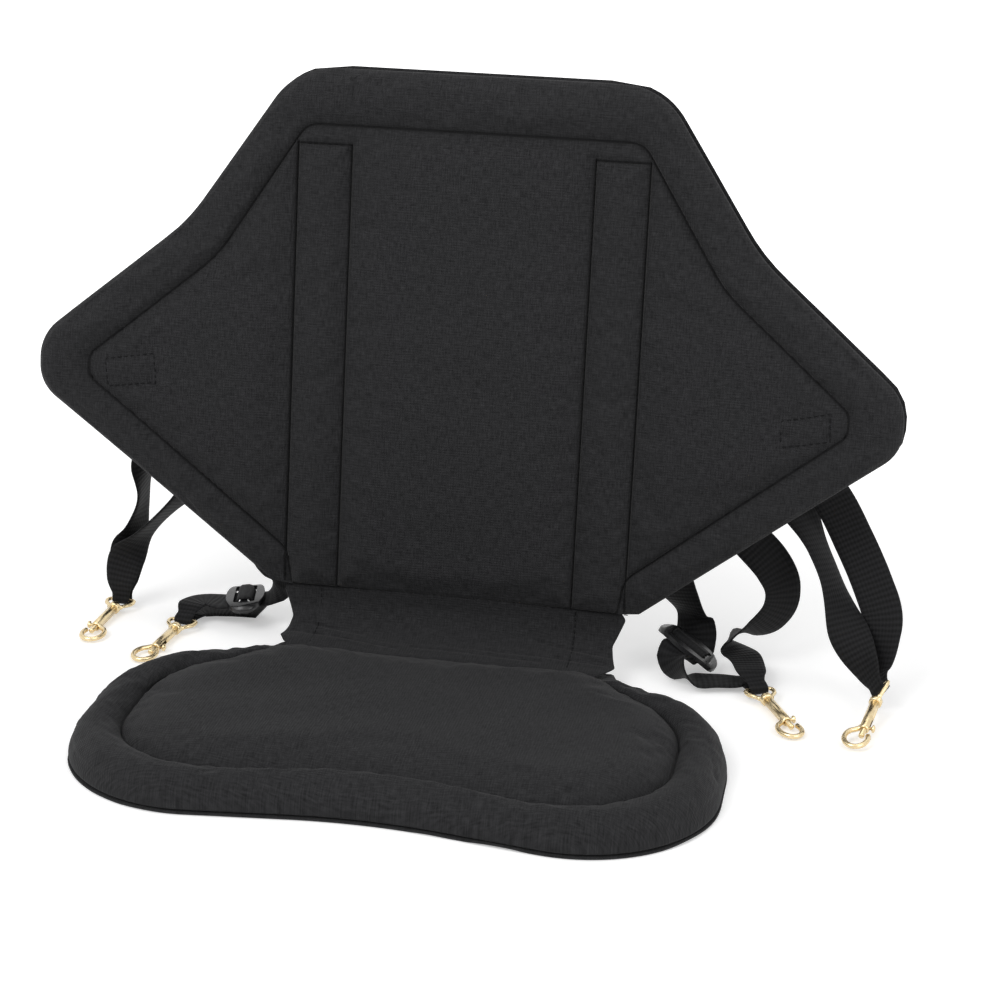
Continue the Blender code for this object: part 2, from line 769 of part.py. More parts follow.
def smooth_route(route, step=0.006):
    """Points, width directions and widths along a smooth curve through the route's own points."""
    places = np.array([p for p, _, _ in route], float)
    wides = np.array([w for _, w, _ in route], float)
    widths = np.array([b for _, _, b in route], float)
    values = np.column_stack([places, wides, widths])
    padded = np.vstack([2 * values[0] - values[1], values, 2 * values[-1] - values[-2]])
    knots = [0.0]
    for a, b in zip(padded, padded[1:]):
        knots.append(knots[-1] + max(np.linalg.norm(b[:3] - a[:3]), 1e-4) ** 0.5)
    samples = []
    for i in range(1, len(padded) - 2):
        length = np.linalg.norm(padded[i + 1][:3] - padded[i][:3])
        pieces = max(1, math.ceil(length / step))
        t0, t1, t2, t3 = knots[i - 1:i + 3]
        for k in range(pieces):
            t = t1 + (t2 - t1) * k / pieces
            a1 = (t1 - t) / (t1 - t0) * padded[i - 1] + (t - t0) / (t1 - t0) * padded[i]
            a2 = (t2 - t) / (t2 - t1) * padded[i] + (t - t1) / (t2 - t1) * padded[i + 1]
            a3 = (t3 - t) / (t3 - t2) * padded[i + 1] + (t - t2) / (t3 - t2) * padded[i + 2]
            b1 = (t2 - t) / (t2 - t0) * a1 + (t - t0) / (t2 - t0) * a2
            b2 = (t3 - t) / (t3 - t1) * a2 + (t - t1) / (t3 - t1) * a3
            samples.append((t2 - t) / (t2 - t1) * b1 + (t - t1) / (t2 - t1) * b2)
    samples.append(padded[-2])
    samples = np.array(samples)
    centre, wide, width = samples[:, :3], samples[:, 3:6], samples[:, 6]
    along = np.gradient(centre, axis=0)
    along /= np.linalg.norm(along, axis=1)[:, None]
    wide = wide - (wide * along).sum(1)[:, None] * along
    wide /= np.linalg.norm(wide, axis=1)[:, None]
    return centre, wide, width


def make_strap(name, route):
    """A flat webbing strap along its route."""
    centre, wide, width = smooth_route(route)
    work = bmesh.new()
    left = [work.verts.new(p) for p in centre - wide * width[:, None] / 2]
    right = [work.verts.new(p) for p in centre + wide * width[:, None] / 2]
    for i in range(len(left) - 1):
        work.faces.new([left[i], left[i + 1], right[i + 1], right[i]])
    strap = object_from_bmesh(name, work)
    add_thickness(strap, WEBBING_THICKNESS)
    return add_part(strap, webbing_cloth(), smooth=False)


def round_the_eye(frame, lead):
    """The strap's points in through the eye, round its bar and out again, both plies leaving along lead."""
    turn = EYE_WIRE_RADIUS + GAP + WEBBING_THICKNESS / 2 + 0.0001
    shape = [
        (turn + 0.0012, 0.0120, WEBBING_WIDTH * 0.72),
        (turn + 0.0002, 0.0050, EYE_WEBBING_WIDTH),
        (turn, 0.0005, EYE_WEBBING_WIDTH),
        (turn * 0.72, -turn * 0.72, EYE_WEBBING_WIDTH),
        (0.0, -turn, EYE_WEBBING_WIDTH),
        (-turn * 0.72, -turn * 0.72, EYE_WEBBING_WIDTH),
        (-turn, 0.0005, EYE_WEBBING_WIDTH),
        (-turn - 0.0002, 0.0050, EYE_WEBBING_WIDTH),
        (-turn - 0.0012, 0.0120, WEBBING_WIDTH * 0.72),
    ]
    across = (frame.to_3x3() @ Vector((0, 1, 0))).normalized()
    lead = Vector(lead)
    lead = (lead - across * lead.dot(across)).normalized()
    normal = across.cross(lead)
    bar = frame @ Vector((-EYE_REACH, 0, 0))
    return [(tuple(bar + normal * out + lead * up), tuple(across), width) for out, up, width in shape]


def slider_frame(place, along, across):
    """A slider's frame: X along the webbing, Y along its bar."""
    along = Vector(along).normalized()
    across = Vector(across)
    across = (across - along * across.dot(along)).normalized()
    up = along.cross(across)
    turn = Matrix((along, across, up)).transposed().to_4x4()
    return Matrix.Translation(place) @ turn


def through_the_slider(frame):
    """The strap's points up through one slot, over the bar and down through the other."""
    middle = (SLIDER_BAR + SLOT_WIDTH) / 2
    over = SLIDER_THICKNESS / 2 + GAP + WEBBING_THICKNESS / 2 + 0.0002
    shape = [
        (-middle * 3.0, -over * 1.15),
        (-middle * 2.1, -over * 1.05),
        (-middle * 1.35, -over * 0.95),
        (-middle, -over * 0.40),
        (-middle * 0.96, over * 0.35),
        (-middle * 0.70, over * 0.92),
        (0.0, over * 1.02),
        (middle * 0.70, over * 0.92),
        (middle * 0.96, over * 0.35),
        (middle, -over * 0.40),
        (middle * 1.35, -over * 0.95),
        (middle * 2.1, -over * 1.05),
        (middle * 3.0, -over * 1.15),
    ]
    across = tuple(frame.to_3x3() @ Vector((0, 1, 0)))
    return [(tuple(frame @ Vector((along, 0, up))), across, WEBBING_WIDTH) for along, up in shape]


def make_slider(name, frame):
    """An oval plate with two slots, dished towards its ends."""
    curve = bpy.data.curves.new(name, "CURVE")
    curve.dimensions = "2D"
    curve.fill_mode = "BOTH"
    curve.extrude = SLIDER_THICKNESS / 2
    turns = 26
    outline = []
    for k in range(turns):
        angle = 2 * math.pi * k / turns
        reach = abs(math.cos(angle)) ** 0.75
        outline.append((
            math.copysign(reach, math.cos(angle)) * SLIDER_HALF_WIDTH,
            math.sin(angle) * SLIDER_HALF_LENGTH,
        ))
    loops = [outline]
    middle = (SLIDER_BAR + SLOT_WIDTH) / 2
    for sign in (-1, 1):
        corners = [
            (sign * middle - SLOT_WIDTH / 2, -SLOT_HALF_LENGTH, 0.0015),
            (sign * middle + SLOT_WIDTH / 2, -SLOT_HALF_LENGTH, 0.0015),
            (sign * middle + SLOT_WIDTH / 2, SLOT_HALF_LENGTH, 0.0015),
            (sign * middle - SLOT_WIDTH / 2, SLOT_HALF_LENGTH, 0.0015),
        ]
        loops.append(rounded_outline(corners, 0.0095, math.radians(45)))
    for loop in loops:
        spline = curve.splines.new("POLY")
        spline.points.add(len(loop) - 1)
        for point, place in zip(spline.points, loop):
            point.co = (*place, 0.0, 1.0)
        spline.use_cyclic_u = True
    flat = bpy.data.objects.new(name + "_outline", curve)
    bpy.context.scene.collection.objects.link(flat)
    plate = mesh_from_curve(flat)
    plate.name = name
    for vert in plate.data.vertices:
        beyond = max(0.0, abs(vert.co.y) - SLOT_HALF_LENGTH * 0.8)
        vert.co.z -= SLIDER_DISH * beyond ** 2 * 6
    plate.matrix_world = frame
    return add_part(plate, slider_plastic())


def behind(x, s, slack=0.0):
    """A strap's place behind the rear cover."""
    return back_point(x, s, rear_face_level() - GAP - WEBBING_THICKNESS / 2 - slack)


def across_back(x):
    """The direction across the backrest that follows the wings' curve."""
    return (1.0, -2 * BACK_WRAP * x * math.cos(BACK_LEAN), 2 * BACK_WRAP * x * math.sin(BACK_LEAN))


def make_strap_set(corner, collar, heading, tilt, eye_roll, hook_roll, slider, lead, to_slider, to_eye, back_up):
    """One strap with its slider, eye, hook, bolt and spring."""
    eye_frame = snap_frame(collar, heading, tilt, eye_roll)
    hook_frame = snap_frame(collar, heading, tilt, hook_roll)
    make_eye(f"snap_eye_{corner}", eye_frame)
    make_hook(f"snap_hook_{corner}", hook_frame)
    make_bolt(f"snap_bolt_{corner}", hook_frame)
    make_spring(f"snap_spring_{corner}", hook_frame)
    plate_frame = slider_frame(*slider)
    make_slider(f"slider_{corner}", plate_frame)
    route = to_slider + through_the_slider(plate_frame) + to_eye + round_the_eye(eye_frame, lead) + back_up
    make_strap(f"strap_{corner}", route)


def make_upper_left():
    up_back = (0, math.sin(BACK_LEAN), math.cos(BACK_LEAN))
    full = WEBBING_WIDTH
    make_strap_set(
        "upper_left",
        collar=(-0.2286, 0.1496, 0.0045),
        heading=-93.1,
        tilt=2.6,
        eye_roll=0.0,
        hook_roll=180.0,
        slider=((-0.166, 0.170, 0.118), (-0.18, 0.0, -0.98), (0.98, 0.0, -0.18)),
        lead=(0, 0.1, 1),
        to_slider=[
            (behind(-0.228, 0.129, 0.0004), up_back, full),
            (behind(-0.212, 0.129, 0.0006), up_back, full),
            (behind(-0.198, 0.129, 0.0016), up_back, full),
            ((-0.176, 0.159, 0.162), (0.2, 0.1, 0.97), full),
            ((-0.162, 0.169, 0.153), (0.65, 0.1, 0.75), full),
            ((-0.159, 0.173, 0.142), (0.97, 0.0, 0.1), full),
        ],
        to_eye=[
            ((-0.1755, 0.1735, 0.092), (0.80, 0.55, -0.20), full),
            ((-0.186, 0.171, 0.079), (0.40, 0.90, -0.20), full),
            ((-0.200, 0.169, 0.065), (0.08, 0.95, -0.28), full),
            ((-0.214, 0.167, 0.050), (0.25, 0.93, -0.25), full),
            ((-0.2245, 0.1640, 0.034), (0.90, 0.35, -0.1), full * 0.95),
        ],
        back_up=[
            ((-0.2258, 0.1710, 0.035), (0.95, 0.30, 0.0), full * 0.95),
            ((-0.2210, 0.175, 0.052), (0.35, 0.92, -0.15), full),
            ((-0.2165, 0.176, 0.072), (-0.05, 0.95, -0.28), full),
            ((-0.2130, 0.172, 0.091), (0.05, 0.94, -0.30), full),
            ((-0.2050, 0.163, 0.107), (0.45, 0.65, -0.50), full),
            ((-0.1920, 0.1600, 0.118), (0.60, 0.0, -0.8), full),
            ((-0.1740, 0.1595, 0.127), (0.45, 0.0, -0.9), full),
        ],
    )


def make_upper_right():
    up_back = (0, math.sin(BACK_LEAN), math.cos(BACK_LEAN))
    full = WEBBING_WIDTH
    make_strap_set(
        "upper_right",
        collar=(0.2627, 0.1043, 0.0116),
        heading=-100.0,
        tilt=10.0,
        eye_roll=60.0,
        hook_roll=0.0,
        slider=((0.190, 0.170, 0.132), (0.5, 0.0, -0.87), (0.87, 0.0, 0.5)),
        lead=(0, 0.5, 0.85),
        to_slider=[
            (behind(0.228, 0.129, 0.0004), up_back, full),
            (behind(0.212, 0.129, 0.0006), up_back, full),
            (behind(0.198, 0.129, 0.0016), up_back, full),
            ((0.177, 0.1580, 0.165), (0.05, 0.15, 0.98), full),
            ((0.166, 0.1680, 0.161), (0.435, 0.5, 0.757), full),
            ((0.1695, 0.1770, 0.154), (0.80, 0.2, 0.58), full),
        ],
        to_eye=[
            ((0.2060, 0.1705, 0.106), (0.75, 0.60, 0.3), full),
            ((0.2170, 0.162, 0.090), (0.35, 0.93, 0.1), full),
            ((0.2270, 0.153, 0.074), (0.25, 0.95, 0.15), full),
            ((0.2350, 0.146, 0.057), (0.30, 0.85, 0.40), full),
            ((0.2440, 0.137, 0.039), (0.40, 0.50, 0.75), full),
        ],
        back_up=[
            ((0.2630, 0.1385, 0.034), (0.75, -0.15, 0.63), full * 0.95),
            ((0.2620, 0.1480, 0.050), (0.92, -0.05, 0.35), full),
            ((0.2540, 0.1560, 0.068), (0.95, 0.0, 0.30), full),
            ((0.2410, 0.1640, 0.091), (0.93, 0.0, 0.35), full),
            ((0.2270, 0.1650, 0.115), (0.90, 0.0, 0.45), full),
            ((0.2120, 0.1605, 0.134), (0.80, 0.0, 0.60), full),
            ((0.1980, 0.1595, 0.146), (0.70, 0.0, 0.70), full),
        ],
    )


def make_lower_left():
    full = WEBBING_WIDTH
    make_strap_set(
        "lower_left",
        collar=(-0.1793, 0.1260, 0.0045),
        heading=-96.3,
        tilt=2.6,
        eye_roll=0.0,
        hook_roll=0.0,
        slider=((-0.143, 0.160, 0.0175), (-0.97, -0.2, -0.1), (0.2, -0.97, 0.0)),
        lead=(0.30, 0.90, 0.25),
        to_slider=[
            (behind(-0.124, 0.082, 0.0003), across_back(-0.124), full),
            (behind(-0.124, 0.060, 0.0004), across_back(-0.124), full),
            (behind(-0.1245, 0.042, 0.0012), across_back(-0.124), full),
            ((-0.1265, 0.154, 0.054), (1, 0, 0), full),
            ((-0.1255, 0.1600, 0.038), (0.95, -0.3, 0), full),
            ((-0.1215, 0.1645, 0.024), (0.70, -0.70, 0), full),
        ],
        to_eye=[
            ((-0.1655, 0.1595, 0.0125), (0.45, -0.89, 0), full * 0.75),
            ((-0.1735, 0.1575, 0.0120), (0.80, -0.60, 0), full * 0.72),
        ],
        back_up=[
            ((-0.1735, 0.1585, 0.0040), (0.85, -0.50, 0), full * 0.75),
            ((-0.1640, 0.1635, 0.0045), (0.50, -0.86, 0), full * 0.85),
            ((-0.1500, 0.1640, 0.0060), (0.10, -0.99, 0), full),
            ((-0.1330, 0.1630, 0.0070), (0.05, -1, 0), full),
        ],
    )


def make_lower_right():
    full = WEBBING_WIDTH
    make_strap_set(
        "lower_right",
        collar=(0.1981, 0.1085, 0.0045),
        heading=-62.0,
        tilt=2.6,
        eye_roll=180.0,
        hook_roll=0.0,
        slider=((0.146, 0.150, 0.0175), (-0.30, -0.94, 0.164), (0.825, -0.343, -0.45)),
        lead=(-0.5, 0.8, 0.25),
        to_slider=[
            (behind(0.124, 0.085, 0.0003), across_back(0.125), full),
            (behind(0.1255, 0.065, 0.0004), across_back(0.125), full),
            (behind(0.1275, 0.048, 0.0012), across_back(0.125), full),
            ((0.1335, 0.156, 0.058), (0.98, 0.0, -0.15), full),
            ((0.1385, 0.165, 0.042), (0.95, -0.1, -0.25), full),
            ((0.1465, 0.1740, 0.024), (0.86, -0.30, -0.42), full),
        ],
        to_eye=[
            ((0.1385, 0.1290, 0.0140), (0.65, -0.45, 0.60), full * 0.95),
            ((0.1430, 0.1255, 0.0080), (0.40, -0.70, 0.60), full * 0.90),
            ((0.1530, 0.1265, 0.0045), (-0.05, -0.99, 0.05), full * 0.85),
            ((0.1660, 0.1295, 0.0042), (-0.10, -0.99, 0.0), full * 0.80),
            ((0.1780, 0.1315, 0.0040), (-0.35, -0.93, 0.0), full * 0.72),
        ],
        back_up=[
            ((0.1840, 0.1410, 0.0120), (-0.75, -0.65, 0), full * 0.80),
            ((0.1800, 0.1520, 0.0125), (-0.50, -0.85, 0), full * 0.90),
            ((0.1735, 0.1610, 0.0130), (-0.25, -0.97, 0), full),
            ((0.1690, 0.1640, 0.0170), (0.0, -1.0, 0), full),
            ((0.1725, 0.1645, 0.0220), (-0.05, -0.99, 0.1), full),
            ((0.1820, 0.1645, 0.0250), (-0.25, -0.80, 0.50), full),
            ((0.1925, 0.1645, 0.0320), (-0.50, -0.60, 0.62), full),
            ((0.1995, 0.1650, 0.0430), (-0.80, -0.55, 0.20), full),
            ((0.2000, 0.1655, 0.0560), (-0.80, -0.55, -0.25), full),
            ((0.1930, 0.1665, 0.0690), (-0.68, -0.40, -0.60), full),
            ((0.1805, 0.1670, 0.0820), (-0.62, -0.20, -0.75), full),
            ((0.1660, 0.1670, 0.0950), (-0.60, -0.10, -0.79), full),
        ],
    )


def main():
    clear_scene()
    for name in (COLLECTION_NAME, "cutters"):
        collection = bpy.data.collections.new(name)
        bpy.context.scene.collection.children.link(collection)
    make_seat()
    make_backrest()
    make_upper_left()
    make_upper_right()
    make_lower_left()
    make_lower_right()


main()
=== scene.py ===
"""Kayak seat: padded winged backrest, cloth hinge band, padded seat, four webbing straps with bolt snaps."""
import json
import math

import bmesh
import bpy
import numpy as np
from mathutils import Matrix, Vector


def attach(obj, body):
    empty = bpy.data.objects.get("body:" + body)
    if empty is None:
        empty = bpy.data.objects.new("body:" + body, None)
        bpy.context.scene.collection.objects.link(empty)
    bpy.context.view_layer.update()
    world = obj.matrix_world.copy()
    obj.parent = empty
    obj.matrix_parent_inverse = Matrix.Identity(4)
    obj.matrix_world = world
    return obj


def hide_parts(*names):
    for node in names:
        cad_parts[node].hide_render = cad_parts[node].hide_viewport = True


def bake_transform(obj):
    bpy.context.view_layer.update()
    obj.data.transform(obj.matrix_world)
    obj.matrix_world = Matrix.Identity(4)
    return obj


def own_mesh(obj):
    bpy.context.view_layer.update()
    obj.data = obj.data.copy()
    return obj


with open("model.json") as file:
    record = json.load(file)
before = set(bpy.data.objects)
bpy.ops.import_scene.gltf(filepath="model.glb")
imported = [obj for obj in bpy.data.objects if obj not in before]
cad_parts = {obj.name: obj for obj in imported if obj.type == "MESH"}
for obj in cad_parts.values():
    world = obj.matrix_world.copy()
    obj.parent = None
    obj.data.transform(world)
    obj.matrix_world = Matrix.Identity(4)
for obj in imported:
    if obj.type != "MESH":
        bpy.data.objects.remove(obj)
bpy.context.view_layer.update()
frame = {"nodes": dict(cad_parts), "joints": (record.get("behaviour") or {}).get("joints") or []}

# Camera at the photograph's viewing angle: in front, a little to the right and above.
# The backrest's height and both wing tips set its place, over a pale floor in plain studio light.
camera_turn = math.radians(10.57)
camera_rise = math.radians(18.94)
camera_roll = math.radians(1.53)
camera_distance = 1.397
camera_aim = np.array([0.0272, 0.10, 0.1247])
back_axis = np.array([
    math.sin(camera_turn) * math.cos(camera_rise),
    -math.cos(camera_turn) * math.cos(camera_rise),
    math.sin(camera_rise),
])
level_right = np.array([math.cos(camera_turn), math.sin(camera_turn), 0.0])
level_up = np.cross(back_axis, level_right)
camera_right = level_right * math.cos(camera_roll) + level_up * math.sin(camera_roll)
camera_up = level_up * math.cos(camera_roll) - level_right * math.sin(camera_roll)
camera_data = bpy.data.cameras.new("photo_camera")
camera_data.sensor_width = 36.0
camera_data.lens = 86.2
camera_data.clip_start = 0.05
camera_data.clip_end = 30.0
camera = bpy.data.objects.new("photo_camera", camera_data)
camera_place = Matrix(np.column_stack([camera_right, camera_up, back_axis]).tolist()).to_4x4()
camera_place.translation = Vector(camera_aim + camera_distance * back_axis)
camera.matrix_world = camera_place
bpy.context.scene.collection.objects.link(camera)
bpy.context.scene.camera = camera
bpy.context.scene.view_settings.view_transform = "Standard"


def feed(tree, node, inputs):
    """Sets each input of a node, by name or number, to a value or links it from another node's output."""
    for label, value in inputs.items():
        if isinstance(value, bpy.types.NodeSocket):
            tree.links.new(value, node.inputs[label])
        else:
            node.inputs[label].default_value = value


def add_node(tree, kind, inputs, **settings):
    """A shader node: its settings are made first, then its inputs are fed."""
    node = tree.nodes.new("ShaderNode" + kind)
    for label, value in settings.items():
        setattr(node, label, value)
    feed(tree, node, inputs)
    return node


def worked(tree, operation, first, second):
    """The output of a math node on two inputs, each an output of another node or a number."""
    return add_node(tree, "Math", {0: first, 1: second}, operation=operation).outputs[0]


def new_material(name, inputs):
    """A Principled material with its even values set on the shader itself."""
    made = bpy.data.materials.new(name)
    made.use_nodes = True
    shader = made.node_tree.nodes["Principled BSDF"]
    feed(made.node_tree, shader, inputs)
    return made, made.node_tree, shader


def seen_or_mirrored(tree):
    """1 for camera, glossy and transmitted rays, and 0 for all others."""
    path = add_node(tree, "LightPath", {})
    either = worked(tree, "MAXIMUM", path.outputs["Is Camera Ray"], path.outputs["Is Glossy Ray"])
    return worked(tree, "MAXIMUM", either, path.outputs["Is Transmission Ray"])


studio = bpy.data.worlds.new("studio")
bpy.context.scene.world = studio
studio.use_nodes = True
studio_tree = studio.node_tree
studio_white = add_node(studio_tree, "Background", {"Color": (1.0, 1.0, 1.0, 1.0), "Strength": 1.0})
studio_light = add_node(studio_tree, "Background", {"Color": (1.0, 1.0, 1.0, 1.0), "Strength": 0.55})
studio_mix = add_node(studio_tree, "MixShader", {
    0: seen_or_mirrored(studio_tree),
    1: studio_light.outputs[0],
    2: studio_white.outputs[0],
})
feed(studio_tree, studio_tree.nodes["World Output"], {0: studio_mix.outputs[0]})

floor_corners = [(-4, -4, -0.0004), (4, -4, -0.0004), (4, 4, -0.0004), (-4, 4, -0.0004)]
floor_mesh = bpy.data.meshes.new("floor")
floor_mesh.from_pydata(floor_corners, [], [(0, 1, 2, 3)])
floor = bpy.data.objects.new("floor", floor_mesh)
bpy.context.scene.collection.objects.link(floor)
floor_finish, floor_tree, floor_shader = new_material("pale_floor", {
    "Base Color": (0.86, 0.86, 0.86, 1.0),
    "Roughness": 0.9,
    "Specular IOR Level": 0.1,
    "Emission Color": (1.0, 1.0, 1.0, 1.0),
})
# Seen directly or in metal, the floor is lifted towards white, wholly so beyond 1.3 m from the object
floor_place = add_node(floor_tree, "TexCoord", {}).outputs["Object"]
floor_reach = add_node(floor_tree, "VectorMath", {0: floor_place}, operation="LENGTH").outputs["Value"]
floor_lift = add_node(floor_tree, "MapRange", {
    "Value": floor_reach,
    "From Min": 0.35,
    "From Max": 1.3,
    "To Min": 0.34,
    "To Max": 1.0,
}).outputs["Result"]
floor_glow = worked(floor_tree, "MULTIPLY", seen_or_mirrored(floor_tree), floor_lift)
feed(floor_tree, floor_shader, {"Emission Strength": floor_glow})
floor_mesh.materials.append(floor_finish)


def soft_lamp(name, place, aim, size, power):
    """A square soft lamp that faces a point."""
    data = bpy.data.lights.new(name, "AREA")
    data.shape = "SQUARE"
    data.size = size
    data.energy = power
    lamp = bpy.data.objects.new(name, data)
    lamp.location = place
    lamp.rotation_euler = (Vector(aim) - Vector(place)).to_track_quat("-Z", "Y").to_euler()
    bpy.context.scene.collection.objects.link(lamp)
    return lamp


soft_lamp("key_lamp", (-1.1, -1.6, 2.0), (0, 0.05, 0.1), 1.4, 28)
soft_lamp("fill_lamp", (1.8, -1.3, 1.3), (0, 0.05, 0.1), 1.6, 15)
soft_lamp("top_lamp", (0.1, 0.5, 2.6), (0, 0.05, 0.0), 2.0, 12)

